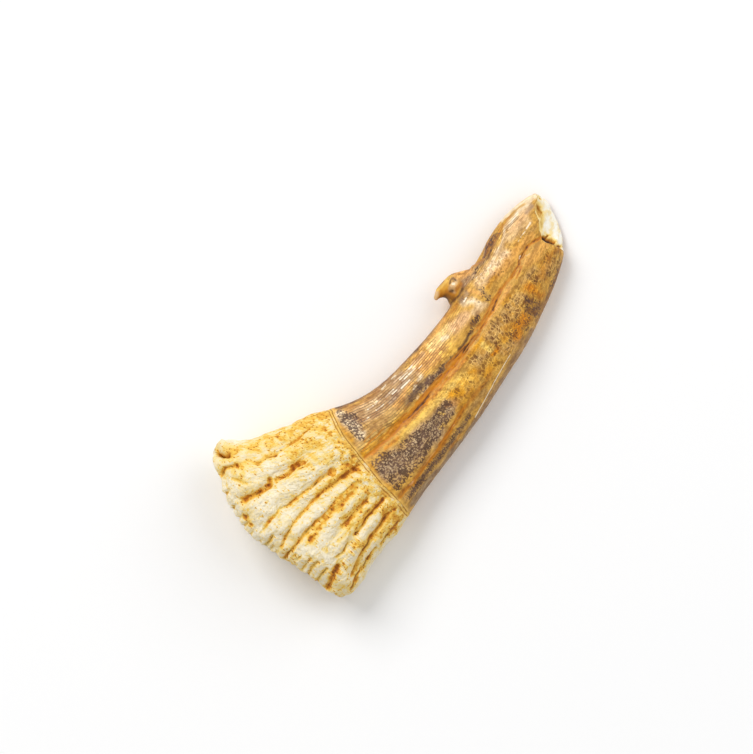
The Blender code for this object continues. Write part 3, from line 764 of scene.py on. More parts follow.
    (COPPER, 0.8, 0.45, 0.5, -9.3, 4, -9.2, 8.6, -8.9),
    (BARK, 0.6, 0.2, 5.4, -9.65, 6, -9.6),
    (BARK, 0.6, 0.18, 6.2, -9.05, 7.8, -9.25),
    (KHAKI, 0.7, 0.5, 2, -10.2, 6, -10),
    (KHAKI, 0.8, 0.6, -14.5, -12, -8, -11.6, 0, -11),
    (BARK, 0.5, 0.5, -13.5, -12, -8, -11.6, -3, -11.2, 1.5, -10.8),
    (COPPER, 1, 0.42, -15.4, -10.9, -12, -10.95, -9, -10.75, -6, -10.5, -3, -10.1, 0, -9.6, 2.4, -9.2),
    (PETAL, 0.8, 0.14, -12.4, -10.9, -11.6, -10.95),
    (AMBER, 0.8, 0.14, -8.7, -10.6, -6, -10.4),
    (MANGO, 0.6, 0.2, -12.2, -11.4, -11.6, -11.4),
    (MANGO, 0.6, 0.2, -4, -11.8, -1.6, -11.5),
    # These three strokes: the convex edge's grey-brown facet, with painted shade, darkest at the edge.
    (TAUPE, 0.9, 0.55, -14.5, -13.2, -8, -12.7, -2, -12.35, 3, -12),
    (SHADED_FACET, 0.9, 0.6, 2, -12, 8, -10.9, 13, -10, 18, -9),
    (BARK, 0.5, 0.2, -14.5, -13.7, -6, -13, 2, -12.4, 10, -11.1),
    (GOLD, 1, 1.3, 12.2, 5.4, 13.6, 5.2, 14.4, 4.2),
    # This stroke and the next, with the umber one below, are painted shade in the notch under the barb's
    # hook.
    (COPPER, 0.9, 0.9, 12.8, 5, 13.6, 4.6, 13.9, 3.9),
    (DEEP_GOLD, 1, 0.6, 12.7, 4.6, 13.3, 4.1, 13.5, 3.5),
    (PETAL, 0.6, 0.8, 16, 5.2, 16.8, 4.8, 18.4, 4.4),
    (AMBER, 0.6, 0.8, 16, 5.2, 16.8, 4.8, 18.4, 4.4),
    (SAND, 0.8, 0.35, 11.5, 5.4, 12, 5.7, 12.6, 5.95),
    # Painted shade in the notch under the barb's hook.
    (UMBER, 0.8, 0.26, 12.3, 4.9, 12.7, 4.65, 12.85, 4, 12.8, 3.5),
    (STRAW, 0.7, 0.2, 13, 6.05, 14.4, 6, 15.2, 5.9, 15.9, 5.6),
    (SEPIA, 0.9, 0.14, 12.8, 6.4, 14.6, 6.4, 15.8, 6.1, 16.8, 5.6, 18.2, 5.1, 19.4, 4.6),
    (TAN, 0.9, 0.4, 14.5, 4.9, 14.9, 4.4, 14.7, 3.9),
    (SAND, 0.7, 0.35, 15, 5, 15.6, 4.6),
    (UMBER, 0.8, 0.24, 14.25, 4.5, 14.4, 4.2),
    # Painted shadow on the upper wall of the barb's pit.
    (BARK, 0.9, 0.14, 14.85, 5.35, 15.3, 5.45, 15.7, 5.2, 15.75, 4.8),
    (COPPER, 0.9, 0.35, 15, 3.85, 16.1, 3.8),
    (COPPER, 0.5, 0.14, 16.2, 5.5, 17.2, 4.9, 18.6, 4.5),
    (SEPIA, 0.6, 0.12, 16.6, 5, 17.8, 4.6, 19.2, 4.4),
    (BARK, 0.8, 0.2, 12.8, 3.1, 14.2, 3, 15.8, 3.1),
)
LOWER_STROKES = (
    (TAN, 0.9, 2.2, -12, 0.8, -4, 0.2, 6, 0.2),
    (AMBER, 0.8, 1.4, 2, 0.4, 7, 0.2),
    # A painted glow of light through the amber enamel.
    (GLOW, 0.8, 1, 10, 0.6, 14, 1),
    (SAND, 0.8, 1.2, 18, 1.2, 24, 2.2, 30, 3.2),
    (KHAKI, 0.8, 1.6, 2, -7.5, 12, -6, 20, -4.8),
    (OCHRE, 0.8, 0.5, -12, -4.4, -3, -4.9, 6, -4.7),
    (MANGO, 0.7, 0.4, -12, -3.2, 0, -3.5, 9, -3.1),
    (MANGO, 0.8, 0.7, 13.6, -6.8, 16.4, -6.2),
    (GOLD, 0.8, 0.7, 3, -6.5, 5, -7.5),
    (COPPER, 0.7, 0.8, 24, -3.8, 29, -2.8),
    (COPPER, 0.8, 0.4, -15, -10.4, -6, -10.2, 3, -9.4),
    (BARK, 0.6, 0.5, 7, -2, 12, -1.4),
    # The facet by the convex edge, grey-brown with painted shade.
    (SHADED_FACET, 0.9, 0.7, -15, -13.9, -8, -13.2, 0, -12.4, 6, -11.5, 12, -10.3, 17, -9.3),
    (AMBER, 0.9, 1.4, 12, 5.6, 14.2, 5, 16.5, 4.6),
)

# Where ochre has soaked into the root: strength, half width and route.
UPPER_STAINS = (
    (0.75, 1.4, -25, 11.2, -22, 9.6, -19, 8.4, -16, 7.4),
    (0.9, 0.7, -16.4, 7.9, -14.6, 6.9, -12.8, 5.8),
    (0.6, 1.1, -29, 10.2, -27.6, 10, -26.6, 9.6),
    (0.8, 0.5, -27.6, 13, -25.8, 12.5, -24.5, 11.4),
    (0.6, 1.3, -21, 6, -18.5, 5, -17.5, 3.8),
    (0.6, 0.7, -19.3, 3.8, -19.2, 2.4),
    (0.4, 1.2, -15.4, 5, -15.4, 1),
    (0.3, 1.4, -18.5, 1.8, -16.8, 1),
    (0.6, 0.5, -33.2, 5, -33.4, 3.2),
    (0.6, 0.4, -32.2, 1.2, -30.8, 1.5, -29.4, 1.4),
    (0.8, 0.55, -23, -1.3, -20.4, -1.3, -18.6, -1.8),
    (0.8, 0.9, -17.2, -1.6, -16.2, -1.8, -15, -1.4),
    (0.75, 0.7, -29.5, -4.9, -27.2, -4.7, -24, -4.7, -21, -4.8, -18.6, -5),
    (0.6, 0.5, -29.4, -5.6, -27.5, -5.4),
    (0.6, 0.5, -23, -6.8, -20.6, -6.9, -19.4, -7),
    (0.6, 0.4, -24, -8, -20.4, -8.1),
    (0.8, 0.4, -23, -9.1, -20.4, -9.1, -17.4, -8.9),
    (0.7, 0.4, -31.6, -11.2, -29.6, -11),
    (0.8, 0.4, -24.4, -11.9, -22.6, -11.7),
    (0.8, 0.6, -21.4, -12.8, -19.6, -12.4, -17.4, -11.9),
    (0.6, 0.9, -20, -13.2, -16.6, -12.8),
    (0.5, 0.8, -18.4, -10.6, -16.8, -10.4),
    (0.35, 1, -16, -3.6, -16.3, -7, -16.6, -12.5),
    (0.3, 1.6, -18.2, -5.5, -18.2, -8.5),
    (0.4, 1.2, -32, -13, -30, -14.6),
)
LOWER_STAINS = (
    (0.8, 1.6, -24, 10.4, -18, 7.8, -13.5, 5.8),
    (0.7, 1, -27, 5.8, -22, 4.8),
    (0.7, 1.2, -30, -3, -24, -3.4, -18, -4.4),
    (0.8, 0.9, -28, -8.4, -22, -8),
    (0.6, 1.4, -17, -4.5, -17.4, -12.5),
)
# Ridges with short wrinkles across them: strength, half width and route.
CRIMPS = (
    (1, 0.8, -31, -11.5, -28, -11.3, -24.5, -10.9),
    (0.5, 0.7, -33, -6.4, -30.5, -7.4),
    (0.4, 0.7, -32.4, 8.6, -31, 10.4),
)

# Patches of dark speckles in the enamel, as density, how far their grain runs across, and outline.
UPPER_SPECKLES = (
    (0.9, 0.5, -12.4, 5.6, -11.1, 5.1, -10.5, 4, -9.8, 3, -9.9, 1.6, -10.3, 0.6, -11, -0.4, -12, -1, -12.8,
     -0.7, -12.9, 0.7, -12.6, 2.5, -12.5, 4),
    (0.93, 0.4, -14, -3.9, -12.2, -3.9, -10.9, -4.9, -9, -5.3, -6.6, -5.5, -4.6, -5.9, -2, -6.3, -2, -7.4,
     -2, -8.9, -3.4, -9.5, -6, -9.8, -9.5, -10.1, -14.8, -10.2, -14.8, -7, -14.5, -5),
    (1, 0.5, -2.2, -6.3, 0, -6.1, 1.6, -5.8, 1.4, -7.4, 0.6, -8.8, -2, -9.2),
    (1.05, 1, -14.5, -11.8, -12, -11.4, -7.7, -11, -4.3, -10.9, 0.5, -10.5, 2, -10.4, 2, -11, 0.5, -11.2,
     -2.3, -11.4, -7.7, -12, -10.7, -12.3, -13.7, -12.6, -14.5, -12.4),
    (0.84, 0.5, -3.1, -2, -2.6, -1.3, -1.2, -1.2, 0.3, -1.5, 2, -1.7, 4.2, -2, 6.6, -2.3, 6.8, -3, 4, -3.1,
     1.5, -3.1, -1.4, -2.9, -3, -2.8),
    (0.95, 0.8, 7, -2.6, 8.9, -2.4, 10.8, -2, 11.6, -1.6, 12.6, -1.1, 14.1, -0.8, 14.6, -1.4, 12.8, -2.2,
     11.2, -2.4, 8.9, -2.9, 7, -2.9),
    (0.72, 0.8, 16.6, 1.6, 17.9, 1.4, 18.2, 0.3, 18, -1, 16.5, -1.1, 16.4, 0.2),
    (0.72, 0.9, 19.6, -6.4, 20.2, -5.2, 21, -4.4, 21.6, -4.6, 22.2, -5.6, 22.2, -7.4, 20.6, -8.1, 19.5,
     -8.2, 19.4, -7.2),
    (0.85, 0, 21, 4.7, 23, 5.3, 25.8, 5.6, 26.2, 4.8, 23.5, 4.1, 21.4, 3.9),
    (0.55, 0, 16.6, 4, 19.3, 4.2, 21.5, 4.2, 24, 4.1, 21, 3.4, 18.9, 3, 16.8, 3),
    (0.6, 0.5, 13.7, 3.2, 15.6, 3.2, 15.4, 2.4, 14.2, 1.8, 13.8, 2.2),
    (0.55, 0.5, 12.5, -8.8, 14, -6.5, 19, -5.2, 22, -7.4, 19, -8.6),
    (0.8, 0, 24, -6.4, 28.5, -5.3, 29.2, -5.5, 25.5, -6.7),
)
LOWER_SPECKLES = (
    (0.7, 0.4, -13.5, 4, -8, 2.6, -2, 1.5, -1, -0.6, -6, -1.8, -13.8, -1.4),
    (0.75, 0.6, -14.8, -6.5, -6, -6.2, 1, -6.8, 2.5, -8.6, -4, -9.2, -14.9, -9.6),
    (0.55, 0.5, 8, -1, 14, -0.6, 19, 0.6, 18, -1.4, 13, -2.8, 8, -2.6),
    (0.45, 0.5, 14, -6.6, 20, -5.2, 24, -4.6, 23, -6, 17, -7.8),
    (0.55, 0, 20, 3, 26, 4.2, 27, 3.2, 21, 2),
)
SPECKLE_EDGE = 0.45
# Where the enamel has small dark dots in columns: strength, half width and route.
UPPER_DOTS = (
    (0.8, 1, 14.8, -4.2, 18.2, -3.9),
    (0.9, 0.45, 12.4, -5, 12.6, -6.4),
    (0.8, 0.8, 9.2, -5.7, 10.4, -6.1),
    (0.7, 0.8, 19.4, -3.4, 19.8, -5.6),
    (0.9, 0.35, 22.8, -3.8, 23.4, -3.2, 25.2, -3.1, 25.8, -3.8),
    (0.8, 0.7, 24.4, -4.4, 25.8, -5, 27, -5),
    (0.6, 0.5, 27.2, -3.2, 29.6, -4.4),
    (0.4, 0.8, 26.4, 2.8, 30.4, 3.2),
    (0.5, 0.7, 18.2, 1.4, 19.8, 2.4),
    (0.7, 0.6, 20.9, 1, 21.7, 0.4),
    (0.5, 0.5, 1.6, -5.7, 3.6, -5.7),
    (0.4, 1, 13, -8, 10.6, -8.8),
    (0.6, 0.7, 15, 1.6, 15.6, 0.2),
)
# Where the enamel has a net of rounded spots, in the same terms.
UPPER_NET = (
    (0.9, 1.6, 8.6, -5.8, 10.4, -5.9),
    (1, 1.8, 13.2, -5.4, 16, -4.8, 19, -4.6),
    (0.8, 1.6, 10, -7.8, 16, -6.8, 19, -6.8),
    (0.9, 1.6, 20, -4.2, 25, -4.2, 30, -3.6),
    (0.75, 1.7, 1, -6.6, 6, -7, 9, -7.4),
    (0.5, 1.2, 18, 2, 24, 1.6, 30, 2),
)
# Rows of tiny cells in the enamel, in the same terms.
STREAKS = (
    (1, 2.4, -10.4, 2.2, -6, 0.6, 0, 0.2, 6, 0.2),
    (0.6, 1.4, 6, 0.4, 12, 0.8),
    (0.8, 0.9, -13, -1.6, -8, -2.2, -4, -2.4),
    (0.8, 0.9, 17, 3.6, 21, 3.4, 26, 4.6, 30, 4.6),
    (0.7, 0.6, -14, -13.3, -4, -12.6, 4, -11.6, 12, -10.2, 17, -9.2),
    (0.25, 2, 2, -6, 12, -6, 28, -3),
)
# Where the enamel is smooth and even, in the same terms.
CALM = (
    (0.85, 1.4, 12.2, 5.6, 13.4, 5, 14, 4.2),
    (0.6, 0.8, 28, 5.5, 33, 5),
)
# Painted highlights on cells in the enamel, in rows along the spine: strength, half width and route.
GLINTS = (
    (1, 0.16, -4.8, 0.85, -3.3, 0.78),
    (0.7, 0.14, -3.9, 0.4, -2.9, 0.35),
    (1, 0.16, -1.4, 1.2, 1.5, 1.15),
    (1, 0.14, -1.3, 0.72, 0.6, 0.65),
    (1, 0.2, -2.2, -0.02, -0.6, -0.08),
    (0.9, 0.12, -2.3, 2.1, -1.4, 2),
    (0.8, 0.12, -4.5, 2.15, -3.5, 2.1),
    (0.9, 0.15, -8.2, 1.62, -7.2, 1.5),
    (0.8, 0.13, -6.8, 1.4, -5.6, 1.3),
    (0.8, 0.13, -7.4, 0.6, -6, 0.45),
    (0.8, 0.16, 0.6, 0.7, 1.6, 0.6),
    (0.7, 0.13, 1.8, 0.1, 2.6, 0.05),
    (0.7, 0.13, -10, 0.9, -9, 0.8),
    (0.8, 0.16, 14.9, 1.2, 15.4, 0.6),
    (0.8, 0.16, 14.3, 1.8, 15, 1.9),
    (0.6, 0.13, 18.2, 2.8, 19.6, 2.6),
    (0.7, 0.16, 28.4, 4.6, 30.2, 4.9),
    (0.5, 0.09, -1.6, -9.9, 0.6, -9.55),
    (0.6, 0.1, -12.4, -10.9, -11.4, -10.95),
)
# Pale lines in the enamel, and painted highlights on the keel, by the tip's crack and in the barb's pit, in
# the same terms.
PALE_LINES_AND_HIGHLIGHTS = (
    (0.8, 0.09, 26.8, 1.85, 28.2, 2, 29.2, 2.2),
    (1, 0.12, 29.3, 2.2, 30.4, 2.4),
    (0.45, 0.06, *KEEL[:6]),
    (0.8, 0.08, *KEEL[4:16]),
    (0.5, 0.07, *KEEL[14:]),
    (0.8, 0.12, 25, -0.1, 25.5, 0.05),
    (0.5, 0.07, -6.5, -4.15, -3, -4.12),
    (0.5, 0.07, 4.6, -4, 7.4, -3.95),
    (0.55, 0.07, 8.8, -3.75, 11, -3.6),
    (0.5, 0.07, 13.6, -3.1, 16, -2.75),
    (0.45, 0.07, 19.5, -1.9, 22, -1.6),
    (0.6, 0.12, 26, -0.55, 26.7, -0.8),
    (1, 0.22, 15.2, 4.98, 15.3, 4.85),
)
# Stains on the old break, in the same terms.
BREAK_STAINS = (
    (0.85, 0.7, 32.2, 2.1, 32.8, 2.6, 33.3, 3.3),
    (0.5, 0.45, 30.5, 0.4, 31.2, 0.9, 31.9, 1.5),
    (0.45, 0.3, 30.5, -0.9, 31, -1.1, 31.4, -1.2),
    (0.4, 0.25, 30.6, 0.1, 30.8, -0.6, 30.7, -1.6),
    (0.6, 0.3, 30.6, -3.2, 31, -3.7),
    (0.5, 0.3, 33.9, 4.3, 34.4, 4.2),
)


def washed(s):
    """The wash of colour on the crown: strokes laid over honey, with uneven edges and strength."""
    warp = drift(s.points, 0.22, 1.8, 71, 74) + drift(s.points, 0.12, 0.6, 72, 75)
    patchy = varied(s.flow, 0.95, 0.35, (1.5, 0.8, 1.2), 77, 2)
    colour = np.tile(np.array(HONEY), (len(s.xy), 1))
    for strokes, side in ((UPPER_STROKES, s.upper), (LOWER_STROKES, 1 - s.upper)):
        for paint, strength, half_width, *route in strokes:
            near = bump(route_distance(s.xy + warp, route), half_width)
            share = strength * step(near * patchy, 0.1, 0.85) * side
            colour += share[:, None] * (np.array(paint) - colour)
    return colour


def inside(xy, outline):
    """How far each point is inside an outline; less than 0 outside it."""
    corners = np.reshape(outline, (-1, 2)).astype(float)
    x, y = xy.T
    crossed = np.zeros(len(xy), bool)
    for (x0, y0), (x1, y1) in zip(corners, np.roll(corners, -1, axis=0)):
        if y0 != y1:
            crossed ^= ((y0 > y) != (y1 > y)) & (x < x0 + (y - y0) / (y1 - y0) * (x1 - x0))
    distance = route_distance(xy, (*outline, *outline[:2]))
    return np.where(crossed, distance, -distance)


def speckled(s):
    """How dense the enamel's dark speckles are, and how far their grain runs across."""
    density, across = np.zeros(len(s.xy)), np.zeros(len(s.xy))
    for patches, side in ((UPPER_SPECKLES, s.upper), (LOWER_SPECKLES, 1 - s.upper)):
        for strength, turn, *outline in patches:
            here = strength * side * step(inside(s.xy + s.warp, outline), -SPECKLE_EDGE, SPECKLE_EDGE)
            across = np.where(here > density, turn, across)
            density = np.maximum(density, here)
    return density * step(s.reach, 0.3, 0.8), across


def stroked(s, strokes, shape=bump, wander=1.0):
    """The strongest of the strokes at each point."""
    xy = s.xy + wander * s.warp
    return np.max([strength * shape(route_distance(xy, route), w) for strength, w, *route in strokes], axis=0)


def store(obj, name, values, domain="POINT"):
    """Keeps a number, or a vector or colour, for each vertex or face."""
    kind, key = ("FLOAT", "value") if values.ndim == 1 else ("FLOAT_VECTOR", "vector")
    layer = obj.data.attributes.new(name, kind, domain)
    layer.data.foreach_set(key, values.astype(np.float32).ravel())


def store_masks(obj, s):
    density, across = speckled(s)
    stains = s.both(stroked(s, UPPER_STAINS), stroked(s, LOWER_STAINS)) * s.root
    masks = {
        "wash": washed(s),
        "stain": np.where(s.broken, stroked(s, BREAK_STAINS), stains),
        "crimp": s.crimp,
        "flow": s.flow,
        "girth": girth_of(s.points, s.flow),
        "reach": s.reach,
        "cavity": s.cavity,
        "seam": s.seam,
        "slope": s.slope,
        "rust": s.rust,
        "speckle": density,
        "across": across,
        "dots": stroked(s, UPPER_DOTS) * s.upper,
        "net": stroked(s, UPPER_NET),
        "streak": stroked(s, STREAKS) * s.crown,
        "lively": 1 - stroked(s, CALM),
        # where painted highlights fall on the enamel's cells
        "glint": stroked(s, GLINTS, cone, 0.4) * s.upper,
        "pale": stroked(s, PALE_LINES_AND_HIGHLIGHTS, cone, 0.4) * s.upper,
    }
    for name, values in masks.items():
        store(obj, name, values)
    corners = np.empty(len(obj.data.loops), int)
    obj.data.loops.foreach_get("vertex_index", corners)
    starts = np.empty(len(obj.data.polygons), int)
    obj.data.polygons.foreach_get("loop_start", starts)
    store(obj, "broken", np.minimum.reduceat(s.broken[corners], starts).astype(float), "FACE")


# What a colour is multiplied by, channel by channel.
DARKER, PALER = (0.50, 0.40, 0.28), (1.25, 1.3, 1.35)
NET_ORANGE, NET_PALE, NET_BROWN = (1.0, 0.82, 0.30), (1.45, 1.6, 2.0), (0.36, 0.25, 0.17)
CELL_PALE = (1.5, 1.6, 1.8)
CELL_LENGTH, CELL_HEIGHT, ROW_LENGTH = 0.8, 0.33, 90.0
# How many features a millimetre of the net, the dots and the two grains of speckle have.
NET_SCALE, DOT_SCALE = (1.9, 1.35, 1.5), (2.1, 1.7, 1.9)
ALONG_SCALE, ACROSS_SCALE = (2.7, 4.8, 3.6), (4.8, 2.8, 3.6)
EDGE = (-0.02, 0.06)  # the reach over which root turns into crown
ROOT_ROUGHNESS, CROWN_ROUGHNESS, BREAK_ROUGHNESS = 0.82, 0.45, 0.8
RELIEF_STRENGTH, RELIEF_HEIGHT = 0.8, 0.2


class Graph:
    """Adds nodes to a material and gives back their outputs. Scales are in features to a millimetre."""

    def __init__(self, tree):
        self.tree = tree

    def node(self, kind, output, inputs, **settings):
        made = self.tree.nodes.new(kind)
        for name, value in settings.items():
            setattr(made, name, value)
        for key, value in inputs.items():
            if isinstance(value, bpy.types.NodeSocket):
                self.tree.links.new(value, made.inputs[key])
            else:
                made.inputs[key].default_value = value
        return made.outputs[output]

    def attribute(self, name, output="Fac"):
        return self.node("ShaderNodeAttribute", output, {}, attribute_name=name)

    def math(self, operation, *values):
        return self.node("ShaderNodeMath", 0, dict(enumerate(values)), operation=operation)

    def add(self, *values):
        return functools.reduce(lambda a, b: self.math("ADD", a, b), values)

    def times(self, *values):
        return functools.reduce(lambda a, b: self.math("MULTIPLY", a, b), values)

    def off(self, value, middle):
        """How far a value is from a middle one."""
        return self.math("ABSOLUTE", self.math("SUBTRACT", value, middle))

    def step(self, value, low, high, bottom=0.0, top=1.0):
        """Bottom where the value is low, top where it is high, and a smooth change between."""
        inputs = {"Value": value, "From Min": low, "From Max": high, "To Min": bottom, "To Max": top}
        return self.node("ShaderNodeMapRange", 0, inputs, interpolation_type="SMOOTHSTEP")

    def stretch(self, at, factors):
        return self.node("ShaderNodeVectorMath", 0, {0: at, 1: factors}, operation="MULTIPLY")

    def noise(self, at, scale, detail=2.0, distortion=0.0):
        if isinstance(scale, tuple):
            at, scale = self.stretch(at, scale), 1.0
        inputs = {"Vector": at, "Scale": scale, "Detail": detail, "Distortion": distortion}
        return self.node("ShaderNodeTexNoise", 0, inputs)

    def noise_shift(self, at, scale, amount):
        """Coordinates that wander by an amount."""
        sway = self.node("ShaderNodeTexNoise", "Color", {"Vector": at, "Scale": scale, "Detail": 1.0})
        inputs = {0: sway, 1: (amount, amount, 0.0), 2: at}
        return self.node("ShaderNodeVectorMath", 0, inputs, operation="MULTIPLY_ADD")

    def spots(self, at, scale, output="Distance", **settings):
        """The distance to the nearest of scattered points, from 0, or another output."""
        return self.node("ShaderNodeTexVoronoi", output, {"Vector": at, "Scale": scale}, **settings)

    def bricks(self, at, long, high, gap):
        """Rows of small cells: a tone from 0 to 1 for each, and 1 in the gaps between them."""
        sizes = {"Brick Width": long, "Row Height": high, "Mortar Size": gap, "Mortar Smooth": 0.6}
        ends = {"Color1": (0, 0, 0, 1), "Color2": (1, 1, 1, 1), "Mortar": (0.5, 0.5, 0.5, 1)}
        tone = self.node("ShaderNodeTexBrick", "Color", {"Vector": at, "Scale": 1.0, **sizes, **ends})
        return tone, tone.node.outputs["Fac"]

    def ramp(self, value, *stops):
        """A colour for each value from 0 to 1, blended between stops of place and colour."""
        made = self.tree.nodes.new("ShaderNodeValToRGB")
        elements = made.color_ramp.elements
        while len(elements) < len(stops):
            elements.new(0.5)
        for element, (place, colour) in zip(elements, stops):
            element.position, element.color = place, (*colour, 1)
        self.tree.links.new(value, made.inputs[0])
        return made.outputs[0]

    def mix(self, colour, other, share):
        ends = [c if isinstance(c, bpy.types.NodeSocket) else (*c, 1) for c in (colour, other)]
        inputs = {0: share, 6: ends[0], 7: ends[1]}
        return self.node("ShaderNodeMix", 2, inputs, data_type="RGBA", clamp_factor=True)


def crown_colour(g, at, wash):
    """Enamel: mottled honey and amber, with a net of spots, rows of tiny cells, dots and speckles."""
    broad, fine, grain = g.noise(at, (0.45, 1.1, 0.8), 3), g.noise(at, (1.6, 2.6, 2.0), 2), g.noise(at, 5.0)
    tone, lively = g.add(g.times(broad, 0.4), g.times(fine, 0.4), g.times(grain, 0.2)), g.attribute("lively")
    colour = g.mix(wash, g.stretch(wash, DARKER), g.times(lively, g.step(tone, 0.5, 0.42, 0, 0.6)))
    colour = g.mix(colour, g.stretch(colour, PALER), g.times(lively, g.step(tone, 0.5, 0.58)))
    colour = dotted(g, at, celled(g, at, netted(g, at, colour)))
    return speckle_colour(g, at, colour)


def netted(g, at, colour):
    """A net of pale lines round small cells, with clusters of brown cells and patches of orange."""
    net = g.attribute("net")
    way = g.noise_shift(g.stretch(at, NET_SCALE), 1.1, 0.5)
    tone = g.node("ShaderNodeSeparateColor", 0, {0: g.spots(way, 1.0, "Color")})
    cluster = g.add(g.noise(at, (0.85, 0.6, 0.8), 2), g.times(tone, 0.2))
    rim = g.spots(way, 1.0, feature="DISTANCE_TO_EDGE")
    orange = g.times(net, g.step(cluster, 0.57, 0.49, 0, 0.65))
    colour = g.mix(colour, g.stretch(colour, NET_ORANGE), orange)
    colour = g.mix(colour, g.stretch(colour, NET_PALE), g.times(net, g.step(rim, 0.13, 0.03), 0.7))
    brown = g.times(net, g.step(rim, 0.03, 0.12), g.step(cluster, 0.62, 0.68, 0, 0.9))
    return g.mix(colour, g.stretch(colour, NET_BROWN), brown)


def celled(g, at, colour):
    """Rows of tiny cells between fine dark lines along the spine, with painted highlights on some of them."""
    streak = g.attribute("streak")
    way = g.noise_shift(g.attribute("girth", "Vector"), 0.35, 0.3)
    tone, joint = g.bricks(way, CELL_LENGTH, CELL_HEIGHT, 0.04)
    row = g.bricks(way, ROW_LENGTH, CELL_HEIGHT, 0.06)[1]
    gap = g.math("MAXIMUM", row, g.times(joint, 0.3))
    uneven = g.noise(at, (0.5, 1.6, 1.0), 2)
    colour = g.mix(colour, RUSSET, g.times(streak, g.step(tone, 0.5, 0.0, 0, 0.5)))
    colour = g.mix(colour, g.stretch(colour, CELL_PALE), g.times(streak, g.step(tone, 0.55, 1.0)))
    colour = g.mix(colour, BARK, g.times(streak, gap, g.step(uneven, 0.35, 0.6, 0.35, 0.95)))
    # Painted highlights on the cells, where the glint mask is strong.
    glint = g.times(g.step(g.attribute("glint"), 0.3, 0.6), g.step(gap, 0.6, 0.2))
    return g.mix(colour, GLINT, g.times(glint, g.step(tone, 0.1, 0.4, 0.3, 1.0), 0.9))


def dotted(g, at, colour):
    """Small dark dots in columns across the spine."""
    dots = g.attribute("dots")
    away = g.spots(g.noise_shift(g.stretch(at, DOT_SCALE), 0.9, 0.4), 1.0)
    dark = g.step(away, g.times(dots, 0.66), g.times(dots, 0.38))
    return g.mix(colour, BARK, g.times(dark, g.step(dots, 0.05, 0.25), 0.55))


def speckle_colour(g, at, colour):
    """Pale grains over dark enamel, with more dark between them where the mask is stronger."""
    density, across = g.attribute("speckle"), g.attribute("across")
    grains = [g.spots(g.noise_shift(g.stretch(at, s), 0.9, 0.6), 1.0) for s in (ALONG_SCALE, ACROSS_SCALE)]
    grain = g.node("ShaderNodeMix", 0, {0: across, 2: grains[0], 3: grains[1]})
    uneven = g.step(g.noise(at, (0.7, 1.0, 0.9), 3), 0.3, 0.7, -0.16, 0.16)
    reach = g.math("MULTIPLY_ADD", g.add(density, uneven), -0.5, 0.95)
    dark = g.step(g.math("SUBTRACT", grain, reach), -0.12, 0.10)
    dark = g.times(dark, g.step(density, 0.05, 0.3))
    ink = g.mix(UMBER_GREY, DUSK, g.step(uneven, -0.1, 0.1))
    return g.mix(colour, ink, g.times(dark, 0.88))


def rusty(g, at, colour):
    """The groove and cracks: orange beside them, and rust and umber in their bottoms."""
    rust, uneven = g.attribute("rust"), g.noise(at, (0.5, 3.2, 1.0), 3)
    colour = g.mix(colour, MANGO, g.times(g.step(rust, 0.15, 0.7), g.step(uneven, 0.3, 0.55, 0.3, 0.85)))
    colour = g.mix(colour, RUST, g.times(g.step(rust, 0.45, 0.95), g.step(uneven, 0.42, 0.58, 0.2, 0.85)))
    return g.mix(colour, UMBER, g.times(g.step(rust, 0.75, 1.25), g.step(uneven, 0.42, 0.58, 0.15, 0.85)))


def root_colour(g, at):
    """Dentine: chalky cream, soaked with yellow and gold, and brown only where it is hollow, partly as
    painted shade.
    """
    cavity, broad, fine = g.attribute("cavity"), g.noise(at, 0.45, 3), g.noise(at, (1.3, 2.4, 1.8), 2)
    dashes, pores, grain = g.noise(at, (1.1, 5.0, 3.0), 2), g.spots(at, 1.9), g.noise(at, 1.6, 3)
    to_crown = g.step(g.attribute("reach"), -6.0, -1.5)
    ripples = g.noise(g.noise_shift(at, 1.3, 0.5), (3.2, 0.7, 1.0), 1)
    crimps = g.times(g.attribute("crimp"), g.step(ripples, 0.46, 0.58, 0, 0.32))
    soaked = g.add(g.times(g.attribute("stain"), g.step(fine, 0.36, 0.62, 0.30, 0.55)), crimps)
    soaked = g.add(soaked, g.step(broad, 0.42, 0.68, 0, 0.16), g.step(fine, 0.5, 0.68, 0, 0.07))
    near_crown = g.times(to_crown, g.step(grain, 0.42, 0.60, 0, 0.26))
    soaked = g.add(soaked, g.step(dashes, 0.57, 0.64, 0, 0.17), near_crown)
    # A warm tint on the slopes down into furrows: painted shade.
    soaked = g.add(soaked, g.step(g.attribute("slope"), 0.05, 0.45, 0, 0.14))
    soaked = g.math("MINIMUM", soaked, g.step(grain, 0.35, 0.65, 0.40, 0.54))
    # Brown in furrows, pits and gaps: stain there, deepened with painted shade.
    hollow = g.add(g.step(cavity, 0.08, 0.5, 0, 0.20), g.step(cavity, 0.5, 1.0, 0, 0.10))
    hollow = g.add(hollow, g.step(cavity, 0.9, 1.5, 0, 0.12), g.step(pores, 0.24, 0.12, 0, 0.36))
    hollow = g.add(hollow, g.step(g.noise(at, (3.2, 4.6, 4.0), 1), 0.61, 0.72, 0, 0.18))
    colour = g.ramp(g.add(soaked, hollow), (0.0, CHALK), (0.14, CREAM), (0.28, PALE_YELLOW),
                    (0.42, SAFFRON), (0.58, ORANGE), (0.74, RUST), (0.91, BROWN))
    y = g.node("ShaderNodeSeparateXYZ", "Y", {0: at})
    tinge = g.step(g.noise(at, (0.35, 0.7, 0.6), 2), 0.42, 0.62)
    redder = g.times(tinge, g.step(soaked, 0.22, 0.5, 0, 0.38), g.step(y, 3.0, -5.0))
    colour = g.mix(colour, COPPER, redder)
    # A dark line in each furrow's bottom: partly stain, partly painted shade.
    broken_up = g.step(g.noise(at, (0.8, 2.0, 1.0), 2), 0.42, 0.6, 0.1, 0.75)
    return g.mix(colour, SEPIA, g.times(g.step(g.attribute("seam"), 0.4, 0.85), broken_up))


